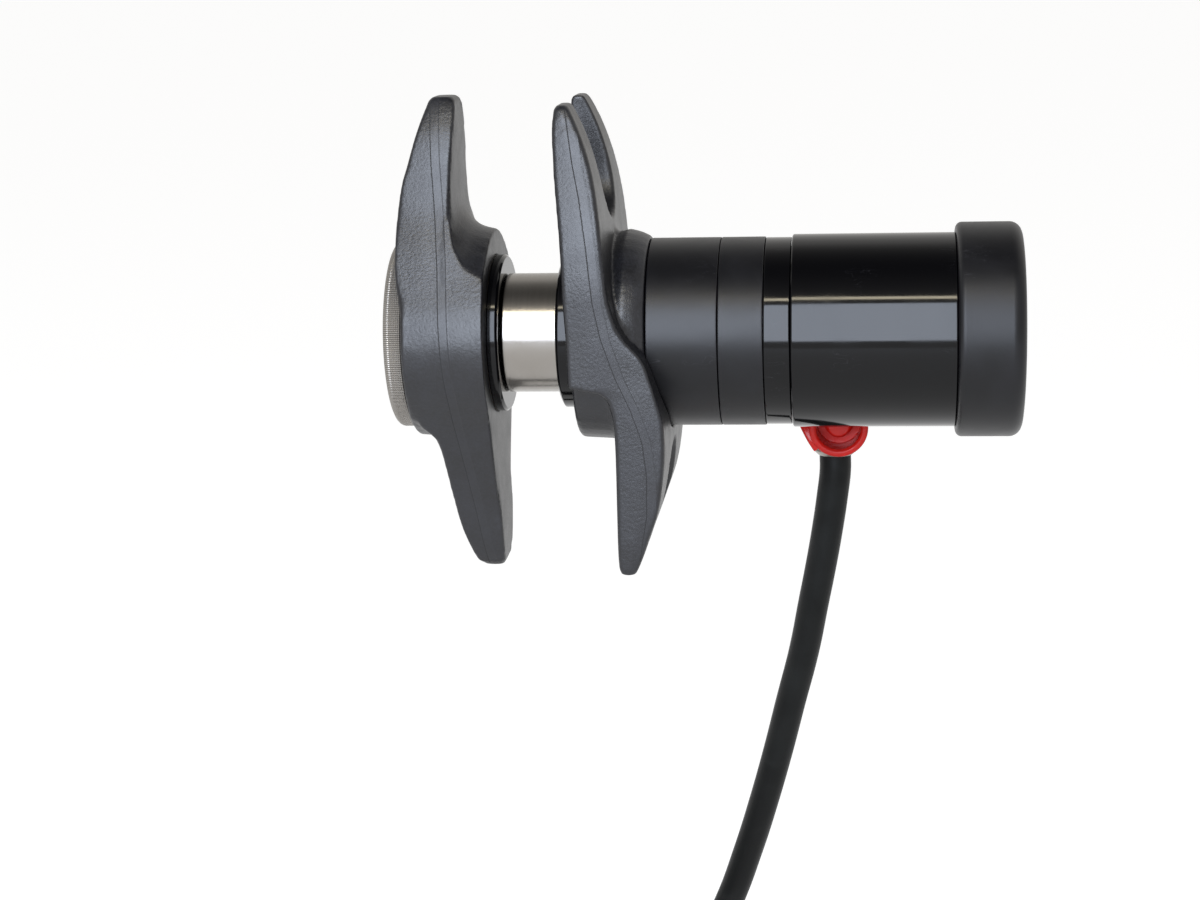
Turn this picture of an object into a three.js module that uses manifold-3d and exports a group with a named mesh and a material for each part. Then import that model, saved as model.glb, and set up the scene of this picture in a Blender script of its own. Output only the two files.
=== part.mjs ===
// Hydraulic wheel stud press: a pull cylinder whose rod draws a press jaw towards a fork.
// Millimetres. X runs along the cylinder towards its end cap, Z is up, Y points behind the tool.
// The origin lies on the axis of the stud that is pressed, in the plane of the fork's lower bearing faces.
import * as THREE from 'three';
import { mergeVertices } from 'three/addons/utils/BufferGeometryUtils.js';
import Module from 'manifold-3d';

const wasm = await Module();
wasm.setup();

// Driving dimensions
const fitGap = 0.3;
const weldShare = 0.001;
const overrun = 2;
const studDrop = 84;
const faceStep = 18.7;
const hubDepth = 30.5;

const rod = { diameter: 50, spigot: 40, tail: 36, chamfer: 1.5, exposed: 23.1 };
const barrel = { bore: 62, wall: 9.1, length: 66.7, spigotWall: 4, capSpigotWall: 5, chamfer: 0.8 };
const nose = { step: 0.9, ringLength: 29.3, lockLength: 18.4, bandStep: 1.2, bandLength: 10.8, wall: 4.7,
  chamfer: 0.6 };
const cap = { overhang: 4.15, length: 26.8, edgeRadius: 5, lipRadius: 2.5, socketDepth: 13, pocketDepth: 6 };
const wiper = { width: 6.2, length: 7.4, chamfer: 1.2 };
const bush = { width: 2.7, length: 24 };
const seal = { width: 3.7, length: 6 };
const ringCord = { section: 2.4 };
const piston = { length: 18, noseInset: 4, noseLength: 30, pocketInset: 3.5, pocketDepth: 12 };
const grooveShares = { seal: 0.18, guide: 0.6, width: 0.24 };
const stroke = 22.5;
const spring = { wire: 4, clearance: 1, turns: 3.5, turnSteps: 8, sides: 5 };
const collar = { width: 12.7, length: 4.6, chamfer: 0.8 };
const washer = { inset: 0.5, length: 0.8 };
const nut = { diameter: 78.6, length: 7.7, chamfer: 0.8 };

const jaw = { hubDiameter: 88.5, hubDepth: 34.2, backDiameter: 86, upperReach: 99.8, lowerReach: 100,
  edge: 1.2, draft: 1, hubChamfer: 1.2, bossStep: 13.4, rootFillet: 13, nutRecess: 0.8 };
const fork = { hubWall: 1.8, hubBulge: 2.25, upperReach: 97.5, lowerReach: 92.2, wingDepth: 20.3,
  width: 104, slot: 40, upperRoot: 49, lowerRoot: 45, edge: 1.2, draft: 1.4, hubChamfer: 1.4,
  hubDrop: 3.2 };
const forkHubShares = { swell: 0.55, widest: 0.7, taper: 0.86 };
const edgeLimitShare = 0.33;
const draftLimitShare = 0.25;

const port = { fromBarrelEnd: 50.4, thread: 13, standOff: 17.9, hexAcross: 19, hexLength: 6 };
const elbow = { radius: 10.5, outletLength: 12 };
const coupler = { hexAcross: 22, hexLength: 6.5, shank: 12, shankLength: 15, bodyDiameter: 23, bodyLength: 33,
  sleeveDiameter: 28, sleeveLength: 20, sleeveStart: 7.5, sleeveTravel: 5, rimWidth: 3, rimHeight: 0.9 };
const ferrule = { diameter: 21, length: 13.5, groove: 0.8, bands: 5 };
const dustCap = { diameter: 25.6, length: 17, wall: 1.8, lip: 1.4, lipLength: 4, floor: 2.5, pin: 11,
  pinLength: 9, ahead: 25, below: 7, sideStep: 1.9 };
const tether = { width: 5, thickness: 1.6, ringWall: 2.4, ringLength: 3, bulge: 5.5, footShare: 0.62,
  steps: 16 };

const hose = { diameter: 14, floorDrop: 380, coilMean: 140, coilAhead: 104, coilBehind: 92, coilGap: 1,
  layerGap: 0.6, tailRun: 62 };
const coilTurns = 3.594;
const coilEntryDegrees = 56;
const coilSteps = 24;
const coilSides = 6;
const hoseSides = 10;
const hoseSteps = 18;
const tailSteps = 4;
const farNipple = { hexAcross: 19, hexLength: 8, shank: 13, shankLength: 20 };
const farCap = { diameter: 22, wall: 2 };

// Facets round the large, middling and small turned pieces
const wideSides = 40;
const innerSides = 28;
const smallSides = 16;
const arcSteps = 3;
const slotSteps = 10;

// Stations along the cylinder, worked out from the lengths above
const hubFront = -faceStep;
const noseSeat = hubFront + hubDepth;
const lockSeat = noseSeat + nose.ringLength;
const bandSeat = lockSeat + nose.lockLength;
const barrelSeat = bandSeat + nose.bandLength;
const barrelEnd = barrelSeat + barrel.length;
const capEnd = barrelEnd + cap.length;
const capFloor = barrelEnd + cap.socketDepth;
const wiperFront = hubFront - wiper.length;
const rodShoulder = wiperFront - rod.exposed;
const collarSeat = rodShoulder - collar.length;
const washerSeat = collarSeat - fitGap - washer.length;
const washerFloor = washerSeat - fitGap;
const jawFace = collarSeat;
const jawBack = jawFace - jaw.hubDepth;
const nutFront = jawBack - fitGap;
const nutBack = nutFront - nut.length;
const pistonBack = capFloor - stroke - fitGap;
const pistonFront = pistonBack - piston.length;
const pistonNose = pistonFront - piston.noseLength;
const spigotEnd = pistonNose - fitGap;
const portX = barrelEnd - port.fromBarrelEnd;

// Radii of the pieces that sit on the rod or its spigot
const rodRadius = rod.diameter / 2;
const spigotRadius = rod.spigot / 2;
const headBore = rodRadius + fitGap;
const wiperRadius = headBore + wiper.width;
const collarRadius = spigotRadius + fitGap + collar.width;
const washerRadius = collarRadius - washer.inset;

// Radii of the cylinder, from its bore outwards
const boreRadius = barrel.bore / 2;
const barrelRadius = boreRadius + barrel.wall;
const spigotOuter = boreRadius + barrel.spigotWall;
const capSpigot = boreRadius + barrel.capSpigotWall;
const capRadius = barrelRadius + cap.overhang;
const noseRadius = barrelRadius - nose.step;
const bandRadius = barrelRadius - nose.bandStep;
const noseThread = headBore + nose.wall;
const pistonNoseRadius = boreRadius - piston.noseInset;
const pocketRadius = boreRadius - piston.pocketInset;
const forkHubRadius = noseRadius + fork.hubWall;
const forkBulgeRadius = forkHubRadius + fork.hubBulge;

// The port's elbow behind the barrel, and the dust cap that hangs under the barrel
const portReach = barrelRadius + port.standOff;
const capForward = portReach - dustCap.ahead;
const capDrop = barrelRadius + dustCap.below;

const group = new THREE.Group();
const tool = new THREE.Group();
tool.position.z = studDrop;
group.add(tool);

// Finishes
const forged = () => new THREE.MeshStandardMaterial({ color: 0x26282c, roughness: 0.5, metalness: 0.35 });
const satin = () => new THREE.MeshStandardMaterial({ color: 0x1b1c1f, roughness: 0.42, metalness: 0.4 });
const gloss = () => new THREE.MeshStandardMaterial({ color: 0x0e0e10, roughness: 0.18, metalness: 0.5 });
const chrome = () => new THREE.MeshStandardMaterial({ color: 0xc9c5bd, roughness: 0.15, metalness: 1 });
const steel = () => new THREE.MeshStandardMaterial({ color: 0x8a8378, roughness: 0.38, metalness: 0.9 });
const bronze = () => new THREE.MeshStandardMaterial({ color: 0xa5793f, roughness: 0.35, metalness: 0.9 });
const rubber = () => new THREE.MeshStandardMaterial({ color: 0x141416, roughness: 0.6, metalness: 0 });
const redPlastic = () => new THREE.MeshStandardMaterial({ color: 0xb3201c, roughness: 0.4, metalness: 0 });

// Closed, outward-facing geometry without normals, degenerate triangles or split vertices
function tidy(source) {
  const bare = new THREE.BufferGeometry();
  bare.setAttribute('position', source.getAttribute('position').clone());
  if (source.index) bare.setIndex(source.index.clone());
  const merged = mergeVertices(bare, fitGap * weldShare);
  const place = merged.getAttribute('position');
  const corners = Array.from(merged.index.array);
  const kept = [];
  let volume = 0;
  const [a, b, c] = [new THREE.Vector3(), new THREE.Vector3(), new THREE.Vector3()];
  for (let i = 0; i < corners.length; i += 3) {
    const [p, q, r] = corners.slice(i, i + 3);
    if (p === q || q === r || r === p) continue;
    a.fromBufferAttribute(place, p);
    b.fromBufferAttribute(place, q);
    c.fromBufferAttribute(place, r);
    volume += a.dot(b.cross(c));
    kept.push(p, q, r);
  }
  if (volume < 0) {
    for (let i = 0; i < kept.length; i += 3) [kept[i + 1], kept[i + 2]] = [kept[i + 2], kept[i + 1]];
  }
  merged.setIndex(kept);
  return merged;
}

function toManifold(geometry) {
  const clean = tidy(geometry);
  const vertProperties = Float32Array.from(clean.getAttribute('position').array);
  const triVerts = Uint32Array.from(clean.index.array);
  return new wasm.Manifold(new wasm.Mesh({ numProp: 3, vertProperties, triVerts }));
}

function fromManifold(solid) {
  const mesh = solid.getMesh();
  const geometry = new THREE.BufferGeometry();
  geometry.setAttribute('position', new THREE.BufferAttribute(Float32Array.from(mesh.vertProperties), 3));
  geometry.setIndex(new THREE.BufferAttribute(Uint32Array.from(mesh.triVerts), 1));
  return geometry;
}

function join(pieces) {
  return pieces.map(toManifold).reduce((whole, piece) => whole.add(piece));
}

function cut(solid, tools) {
  return tools.map(toManifold).reduce((whole, piece) => whole.subtract(piece), solid);
}

function addMesh(name, geometry, material, parent = tool) {
  const shaded = tidy(geometry).toNonIndexed();
  shaded.computeVertexNormals();
  const mesh = new THREE.Mesh(shaded, material);
  mesh.name = name;
  parent.add(mesh);
  return mesh;
}

// A turned piece round the X axis from [x, radius] points; it closes on itself or on the axis
function turned(profile, sides = wideSides) {
  const points = profile.map(([x, radius]) => new THREE.Vector2(radius, x));
  if (profile.every(([, radius]) => radius > 0)) points.push(points[0].clone());
  const geometry = new THREE.LatheGeometry(points, sides);
  const place = geometry.getAttribute('position');
  const seam = sides * points.length;
  points.forEach((_, j) => place.setXYZ(seam + j, place.getX(j), place.getY(j), place.getZ(j)));
  return tidy(geometry.rotateZ(-Math.PI / 2));
}

// A ring between two stations, with a chamfer on each outer edge
function ringProfile(start, end, inner, outer, chamfer) {
  return [[start, inner], [start, outer - chamfer], [start + chamfer, outer], [end - chamfer, outer],
    [end, outer - chamfer], [end, inner]];
}

function plug(start, end, radius, sides = wideSides) {
  return turned([[start, 0], [start, radius], [end, radius], [end, 0]], sides);
}

// Points of a quarter round from one direction to the other about a centre
function quarter(x, radius, size, from, to) {
  return Array.from({ length: arcSteps + 1 }, (_, i) => {
    const angle = THREE.MathUtils.degToRad(from + ((to - from) * i) / arcSteps);
    return [x + size * Math.cos(angle), radius + size * Math.sin(angle)];
  });
}

// A closed body through rings of equally many points, with flat ends
function loft(rings) {
  const count = rings[0].length;
  const positions = rings.flat().flatMap((p) => [p.x, p.y, p.z]);
  const index = [];
  for (let i = 0; i + 1 < rings.length; i += 1) {
    for (let j = 0; j < count; j += 1) {
      const k = (j + 1) % count;
      const [a, b, c, d] = [i * count + j, i * count + k, (i + 1) * count + k, (i + 1) * count + j];
      index.push(a, b, c, a, c, d);
    }
  }
  const last = (rings.length - 1) * count;
  for (let j = 1; j + 1 < count; j += 1) {
    index.push(0, j + 1, j);
    index.push(last, last + j, last + j + 1);
  }
  const geometry = new THREE.BufferGeometry();
  geometry.setAttribute('position', new THREE.Float32BufferAttribute(positions, 3));
  geometry.setIndex(index);
  return geometry;
}

// Level section of a forging between two faces; each side peaks on the parting line
function armSection(z, front, rear, half, edge, draft) {
  const round = Math.min(edge, (rear - front) * edgeLimitShare, half / 2);
  const side = half - Math.min(draft, half * draftLimitShare);
  const sideOf = (s) => [[front + round, s * side], [(front + rear) / 2, s * half], [rear - round, s * side]];
  return [[front, round - side], [front, side - round], ...sideOf(1), [rear, side - round],
    [rear, round - side], ...sideOf(-1).reverse()].map(([x, y]) => new THREE.Vector3(x, y, z));
}

// Forged fork
// Each row: height as a share of the reach on that side of the axis, front and rear faces, and half width.
// Faces before the lower bearing plane are shares of faceStep, those behind it of the wing's depth.
const forkShares = [
  [1, -1.16, -0.95, 0.7], [0.985, -1.22, -0.88, 0.73], [0.95, -1.25, -0.79, 0.75],
  [0.9, -1.26, -0.67, 0.775], [0.82, -1.25, -0.52, 0.8], [0.74, -1.235, -0.4, 0.837],
  [0.66, -1.2, -0.315, 0.88], [0.57, -1.155, -0.243, 0.923], [0.48, -1.11, -0.195, 0.96],
  [0.38, -1.08, -0.16, 0.98], [0.3, -1.07, -0.115, 1], [0.215, -1.06, -0.08, 1],
  [0.161, -1.04, 0, 1], [0.12, -1.03, 0.06, 1], [0.087, -1.02, 0.12, 1], [0.05, -1.01, 0.24, 1],
  [0.015, -1, 0.4, 1], [-0.02, -1, 0.55, 1], [-0.06, -1, 0.66, 1], [-0.12, -1, 0.735, 1],
  [-0.155, -0.985, 0.79, 1], [-0.178, -0.32, 0.81, 1], [-0.21, -0.15, 0.85, 1], [-0.27, -0.05, 0.93, 1],
  [-0.325, -0.02, 0.99, 1], [-0.38, 0, 1, 1], [-0.49, 0, 0.985, 1], [-0.645, 0, 0.9, 1], [-0.74, 0, 0.81, 1],
  [-0.845, 0, 0.62, 1], [-0.91, 0, 0.53, 1], [-0.975, 0, 0.41, 0.99], [-1, 0.06, 0.34, 0.97],
];

function forkFace(share) {
  return share * (share < 0 ? faceStep : fork.wingDepth);
}

const forkBar = loft(forkShares.map(([height, front, rear, half]) => {
  const z = height * (height > 0 ? fork.upperReach : fork.lowerReach);
  return armSection(z, forkFace(front), forkFace(rear), (half * fork.width) / 2, fork.edge, fork.draft);
}));

// Round-rooted slot between two prongs, open at their tips
function forkSlot(root, tip) {
  const half = fork.slot / 2;
  const side = Math.sign(tip);
  const shape = new THREE.Shape();
  shape.moveTo(-half, tip);
  shape.lineTo(-half, side * (root + half));
  shape.absarc(0, side * (root + half), half, Math.PI, 0, side < 0);
  shape.lineTo(half, tip);
  const solid = new THREE.ExtrudeGeometry(shape,
    { depth: 2 * hubDepth, bevelEnabled: false, curveSegments: slotSteps });
  const axes = new THREE.Matrix4().makeBasis(new THREE.Vector3(0, 1, 0), new THREE.Vector3(0, 0, 1),
    new THREE.Vector3(1, 0, 0));
  return solid.translate(0, 0, -hubDepth).applyMatrix4(axes);
}

const forkHub = turned([
  [hubFront, 0], [hubFront, forkHubRadius - fork.hubChamfer], [hubFront + fork.hubChamfer, forkHubRadius],
  [hubFront + hubDepth * forkHubShares.swell, forkBulgeRadius - fork.hubChamfer],
  [hubFront + hubDepth * forkHubShares.widest, forkBulgeRadius],
  [hubFront + hubDepth * forkHubShares.taper, (forkBulgeRadius + forkHubRadius) / 2],
  [noseSeat - fork.hubChamfer / 2, forkHubRadius - fork.hubChamfer / 2],
  [noseSeat - fitGap / 2, forkHubRadius - fork.hubChamfer], [noseSeat - fitGap / 2, 0],
]);
// The hub's forging reaches a little further below the bore than above it
const hubBoss = forkHub.clone().translate(0, 0, -fork.hubDrop);
const noseBore = plug(hubFront - overrun, noseSeat + overrun, noseThread + fitGap);
const wiperRecess = plug(hubFront - overrun, hubFront, wiperRadius + fitGap);
const ringRecess = plug(noseSeat - fitGap / 2, noseSeat + fork.wingDepth, noseRadius + 2 * fitGap);
const slots = [
  forkSlot(fork.upperRoot, fork.upperReach + overrun),
  forkSlot(fork.lowerRoot, -fork.lowerReach - overrun),
];
const forkBlank = cut(toManifold(forkBar), slots).add(toManifold(forkHub)).add(toManifold(hubBoss));
const forkBody = cut(forkBlank, [noseBore, wiperRecess, ringRecess]);
addMesh('fork_jaw', fromManifold(forkBody), forged());

// Forged press jaw
// Each row: height as a share of the reach, front and rear faces as shares of the hub's depth,
// and half width as a share of the hub's radius.
const jawShares = [
  [1, 0.32, 0.55, 0.15], [0.985, 0.275, 0.6, 0.2], [0.96, 0.25, 0.617, 0.234], [0.91, 0.195, 0.614, 0.303],
  [0.85, 0.14, 0.605, 0.372], [0.79, 0.092, 0.596, 0.409], [0.73, 0.044, 0.584, 0.437],
  [0.67, -0.012, 0.576, 0.48], [0.61, -0.043, 0.572, 0.508], [0.55, -0.065, 0.572, 0.542],
  [0.5, -0.079, 0.572, 0.58], [0.45, -0.089, 0.572, 0.645], [0.4, -0.093, 0.572, 0.705],
  [0.34, -0.091, 0.572, 0.758], [0.28, -0.078, 0.6, 0.79], [0.21, -0.04, 0.7, 0.865],
  [0.12, 0.005, 0.85, 0.95], [0, 0.039, 0.9, 0.99], [-0.12, 0.053, 0.9, 0.955], [-0.22, 0.063, 0.93, 0.86],
  [-0.3, 0.085, 0.98, 0.735], [-0.345, 0.14, 0.997, 0.695], [-0.375, 0.237, 0.997, 0.67],
  [-0.405, 0.314, 0.997, 0.645], [-0.46, 0.354, 0.997, 0.6], [-0.55, 0.385, 1, 0.524],
  [-0.64, 0.415, 1.007, 0.447], [-0.7, 0.442, 1.02, 0.397], [-0.74, 0.46, 1.03, 0.375],
  [-0.82, 0.512, 1.03, 0.35], [-0.89, 0.575, 1.03, 0.313], [-0.935, 0.62, 1.03, 0.276],
  [-0.975, 0.67, 1.02, 0.218], [-1, 0.75, 0.98, 0.13],
];
const jawWaistShare = 0.572;
const jawHubRadius = jaw.hubDiameter / 2;
const jawBackRadius = jaw.backDiameter / 2;

// Both arms, or with faces given the upper arm's outline between those faces
function jawArms(faces) {
  const rows = faces ? jawShares.filter(([height]) => height >= 0) : jawShares;
  const rings = rows.map(([height, front, rear, half]) => {
    const z = height * (height > 0 ? jaw.upperReach : jaw.lowerReach);
    const [frontFace, rearFace] = faces ?? [jawBack + front * jaw.hubDepth, jawBack + rear * jaw.hubDepth];
    return armSection(z, frontFace, rearFace, half * jawHubRadius, jaw.edge, jaw.draft);
  });
  return loft(rings);
}

const jawHub = turned([
  [jawBack, 0], [jawBack, jawBackRadius - jaw.hubChamfer], [jawBack + jaw.hubChamfer, jawBackRadius],
  [jawFace - jaw.bossStep, jawHubRadius], [jawFace - jaw.hubChamfer / 2, jawHubRadius],
  [jawFace, jawHubRadius - jaw.hubChamfer / 2], [jawFace, 0],
]);

// Hollow fillet from the boss up to the upper arm's rear face, as wide as the arm is there
const armRear = jawBack + jawWaistShare * jaw.hubDepth;
const filletRadius = jawHubRadius + jaw.rootFillet;
const filletRing = turned([
  [armRear - overrun, 0], [armRear - overrun, filletRadius],
  ...quarter(armRear + jaw.rootFillet, filletRadius, jaw.rootFillet, 180, 270), [armRear + jaw.rootFillet, 0],
]);
const jawRoot = fromManifold(toManifold(filletRing).intersect(toManifold(jawArms([jawBack, jawFace]))));
const jawBore = plug(jawBack - jaw.hubDepth, jawFace + overrun, spigotRadius + fitGap, innerSides);
const nutRecess = plug(jawBack - jaw.hubDepth, jawBack, nut.diameter / 2 + jaw.nutRecess);
const washerRecess = plug(washerFloor, jawFace + overrun, washerRadius + 2 * fitGap);
const jawBody = cut(join([jawArms(), jawHub, jawRoot]), [jawBore, nutRecess, washerRecess]);
addMesh('press_jaw', fromManifold(jawBody), forged());

// Ram: the rod, what is seated on its spigot, and the piston
addMesh('piston_rod', turned([
  [nutBack, 0], [nutBack, spigotRadius - rod.chamfer], [nutBack + rod.chamfer, spigotRadius],
  [rodShoulder, spigotRadius], [rodShoulder, rodRadius - rod.chamfer / 2],
  [rodShoulder + rod.chamfer / 2, rodRadius],
  [pistonNose - fitGap, rodRadius], [pistonNose - fitGap, rod.tail / 2],
  [pistonFront + piston.length - piston.pocketDepth - fitGap, rod.tail / 2],
  [pistonFront + piston.length - piston.pocketDepth - fitGap, 0],
], wideSides), chrome());
addMesh('collar_ring', turned(ringProfile(collarSeat, rodShoulder - fitGap, spigotRadius + fitGap,
  collarRadius, collar.chamfer)), gloss());
addMesh('thrust_washer', turned(ringProfile(washerSeat, washerSeat + washer.length, spigotRadius + fitGap,
  washerRadius, 0)), steel());
addMesh('knurled_nut', turned(ringProfile(nutBack, nutFront, spigotRadius + fitGap, nut.diameter / 2,
  nut.chamfer)), steel());

const pistonRadius = boreRadius - fitGap;
const ringFloor = pistonRadius - ringCord.section;
const sealStart = pistonFront + piston.length * grooveShares.seal;
const guideStart = pistonFront + piston.length * grooveShares.guide;
const sealWidth = piston.length * grooveShares.width;
addMesh('piston', turned([
  [pistonNose, rod.tail / 2 + fitGap], [pistonNose, pistonNoseRadius],
  [pistonFront, pistonNoseRadius], [pistonFront, pistonRadius],
  [sealStart, pistonRadius], [sealStart, ringFloor], [sealStart + sealWidth, ringFloor],
  [sealStart + sealWidth, pistonRadius], [guideStart, pistonRadius], [guideStart, ringFloor],
  [guideStart + sealWidth, ringFloor], [guideStart + sealWidth, pistonRadius],
  [pistonBack, pistonRadius], [pistonBack, pocketRadius],
  [pistonBack - piston.pocketDepth, pocketRadius],
  [pistonBack - piston.pocketDepth, rod.tail / 2 + fitGap],
], innerSides), steel());
for (const [name, start] of [['piston_seal', sealStart], ['piston_guide_ring', guideStart]]) {
  addMesh(name, turned(ringProfile(start + fitGap, start + sealWidth - fitGap, ringFloor + fitGap,
    pistonRadius, 0), innerSides), name === 'piston_seal' ? rubber() : bronze());
}

// Front head: nose spigot in the fork, outer ring, and spigot in the barrel
const innerSpigot = boreRadius - fitGap;
const bushSeat = noseSeat + nose.chamfer;
const sealSeat = bushSeat + bush.length + 2 * fitGap + ringCord.section;

// Inner groove for a ring of the given size, from its rear wall to its front wall
function grooveProfile(seat, ring) {
  const floor = headBore + ring.width + fitGap;
  const rear = seat + ring.length + 2 * fitGap;
  return [[rear, headBore], [rear, floor], [seat, floor], [seat, headBore]];
}

addMesh('front_head', turned([
  [hubFront, headBore], [hubFront, noseThread], [noseSeat + fitGap / 2, noseThread],
  [noseSeat + fitGap / 2, noseRadius - nose.chamfer], [noseSeat + fitGap / 2 + nose.chamfer, noseRadius],
  [lockSeat - fitGap - nose.chamfer, noseRadius], [lockSeat - fitGap, noseRadius - nose.chamfer],
  [lockSeat - fitGap, innerSpigot], [spigotEnd, innerSpigot], [spigotEnd, headBore],
  ...grooveProfile(sealSeat, seal), ...grooveProfile(bushSeat, bush),
]), satin());
addMesh('guide_bush', turned(ringProfile(bushSeat + fitGap, bushSeat + fitGap + bush.length, headBore,
  headBore + bush.width, 0), innerSides), bronze());
addMesh('rod_seal', turned(ringProfile(sealSeat + fitGap, sealSeat + fitGap + seal.length, headBore,
  headBore + seal.width, 0), innerSides), rubber());
addMesh('rod_wiper', turned(ringProfile(wiperFront, hubFront - fitGap, headBore, wiperRadius,
  wiper.chamfer)), gloss());

// Lock ring, band and barrel
addMesh('lock_ring', turned(ringProfile(lockSeat, bandSeat - fitGap, spigotOuter + fitGap, noseRadius,
  nose.chamfer)), satin());
addMesh('band_ring', turned(ringProfile(bandSeat, barrelSeat - fitGap, spigotOuter + fitGap,
  bandRadius, nose.chamfer)), gloss());
const barrelBody = turned([
  [lockSeat, boreRadius], [lockSeat, spigotOuter], [barrelSeat, spigotOuter],
  [barrelSeat, barrelRadius - barrel.chamfer], [barrelSeat + barrel.chamfer, barrelRadius],
  [barrelEnd - fitGap, barrelRadius], [barrelEnd - fitGap, capSpigot],
  [capFloor - fitGap, capSpigot], [capFloor - fitGap, boreRadius],
]);

// A piece turned round X is stood on the port's line, which points straight behind the barrel
function alongPort(geometry) {
  return geometry.rotateZ(Math.PI / 2).translate(portX, 0, 0);
}

const threadRadius = port.thread / 2;
const portHole = alongPort(plug(0, barrelRadius + overrun, threadRadius + fitGap, smallSides));
addMesh('barrel', fromManifold(cut(toManifold(barrelBody), [portHole])), gloss());

// End cap: a cup over the barrel's rear spigot, with rounded edges
addMesh('end_cap', turned([
  [capFloor + cap.pocketDepth, 0], [capFloor + cap.pocketDepth, pocketRadius],
  [capFloor, pocketRadius], [capFloor, capSpigot + fitGap], [barrelEnd, capSpigot + fitGap],
  ...quarter(barrelEnd + cap.lipRadius, capRadius - cap.lipRadius, cap.lipRadius, 180, 90),
  ...quarter(capEnd - cap.edgeRadius, capRadius - cap.edgeRadius, cap.edgeRadius, 90, 0), [capEnd, 0],
]), satin());

// Least distance between stretches of one tube's centre line that lie more than a turn's share apart
function leastGap(points, diameter, apart) {
  let least = Infinity;
  for (let i = 0; i < points.length; i += 1) {
    for (let j = i + apart; j < points.length; j += 1) {
      least = Math.min(least, points[i].distanceTo(points[j]));
    }
  }
  return least - diameter;
}

// One unbroken tube along points, its section carried from step to step without twisting
function tube(points, diameter, sides, firstUp) {
  const up = firstUp.clone();
  const rings = points.map((point, i) => {
    const before = points[Math.max(i - 1, 0)];
    const after = points[Math.min(i + 1, points.length - 1)];
    const tangent = after.clone().sub(before).normalize();
    up.addScaledVector(tangent, -up.dot(tangent)).normalize();
    const side = tangent.clone().cross(up);
    return Array.from({ length: sides }, (_, k) => {
      const angle = (2 * Math.PI * k) / sides;
      return point.clone().addScaledVector(up, (diameter / 2) * Math.sin(angle))
        .addScaledVector(side, (diameter / 2) * Math.cos(angle));
    });
  });
  return loft(rings);
}

// Return spring between the end cap's pocket and the piston's pocket
const springStart = pistonBack - piston.pocketDepth + fitGap + spring.wire / 2;
const springEnd = capFloor + cap.pocketDepth - fitGap - spring.wire / 2;
const springRadius = pocketRadius - spring.clearance - spring.wire / 2;
const springSteps = spring.turns * spring.turnSteps;
const springPoints = Array.from({ length: springSteps + 1 }, (_, i) => {
  const angle = (2 * Math.PI * i) / spring.turnSteps;
  const x = springStart + ((springEnd - springStart) * i) / springSteps;
  return new THREE.Vector3(x, springRadius * Math.cos(angle), springRadius * Math.sin(angle));
});
addMesh('return_spring', tube(springPoints, spring.wire, spring.sides, new THREE.Vector3(1, 0, 0)), steel());
const springGap = leastGap(springPoints, spring.wire, spring.turnSteps - 1);
console.log('return spring, least gap between curls', springGap);

// Port elbow, and the coupler that hangs from its outlet
function hexBar(start, end, across) {
  return turned([[start, 0], [start, across / Math.sqrt(3)], [end, across / Math.sqrt(3)], [end, 0]], 6);
}

const hexStart = portReach - elbow.radius - fitGap - port.hexLength;
addMesh('port_nipple', fromManifold(join([
  alongPort(plug(boreRadius + overrun, hexStart + overrun, threadRadius, smallSides)),
  alongPort(hexBar(hexStart, hexStart + port.hexLength, port.hexAcross)),
])), steel());

// Pieces on the coupler's line, which runs straight down through the elbow's outlet
function alongDrop(geometry) {
  return geometry.rotateY(Math.PI / 2).translate(portX, portReach, 0);
}

const elbowArc = Array.from({ length: smallSides / 2 - 1 }, (_, i) => {
  const angle = (Math.PI * (i + 1)) / (smallSides / 2);
  return [-elbow.radius * Math.cos(angle), elbow.radius * Math.sin(angle)];
});
const elbowRound = turned([[-elbow.radius, 0], ...elbowArc, [elbow.radius, 0]], smallSides);
addMesh('port_elbow', fromManifold(join([
  alongDrop(elbowRound),
  alongPort(plug(portReach - elbow.radius, portReach, elbow.radius - fitGap, smallSides)),
  alongDrop(plug(0, elbow.outletLength, elbow.radius - fitGap, smallSides)),
])), steel());

const nippleStart = elbow.outletLength + fitGap;
const bodyStart = nippleStart + coupler.hexLength + fitGap;
const bodyEnd = bodyStart + coupler.bodyLength;
const shankEnd = nippleStart + coupler.hexLength + coupler.shankLength;
addMesh('coupler_nipple', fromManifold(join([
  alongDrop(hexBar(nippleStart, nippleStart + coupler.hexLength, coupler.hexAcross)),
  alongDrop(plug(nippleStart, shankEnd, coupler.shank / 2, smallSides)),
])), steel());
addMesh('coupler_body', alongDrop(turned([
  [shankEnd + fitGap, 0], [shankEnd + fitGap, coupler.shank / 2 + fitGap],
  [bodyStart, coupler.shank / 2 + fitGap], [bodyStart, coupler.bodyDiameter / 2],
  [bodyEnd, coupler.bodyDiameter / 2], [bodyEnd, 0],
], smallSides)), steel());
const sleeveTop = bodyStart + coupler.sleeveStart;
const sleeveEnd = sleeveTop + coupler.sleeveLength;
const sleeveRadius = coupler.sleeveDiameter / 2;
const sleeveGrip = sleeveRadius - coupler.rimHeight;
addMesh('coupler_sleeve', alongDrop(turned([
  [sleeveTop, coupler.bodyDiameter / 2 + fitGap], [sleeveTop, sleeveRadius],
  [sleeveTop + coupler.rimWidth, sleeveRadius], [sleeveTop + coupler.rimWidth, sleeveGrip],
  [sleeveEnd - coupler.rimWidth, sleeveGrip], [sleeveEnd - coupler.rimWidth, sleeveRadius],
  [sleeveEnd, sleeveRadius], [sleeveEnd, coupler.bodyDiameter / 2 + fitGap],
], smallSides)), steel());
const ferruleStart = bodyEnd + fitGap;
const ferruleEnd = ferruleStart + ferrule.length;

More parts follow.
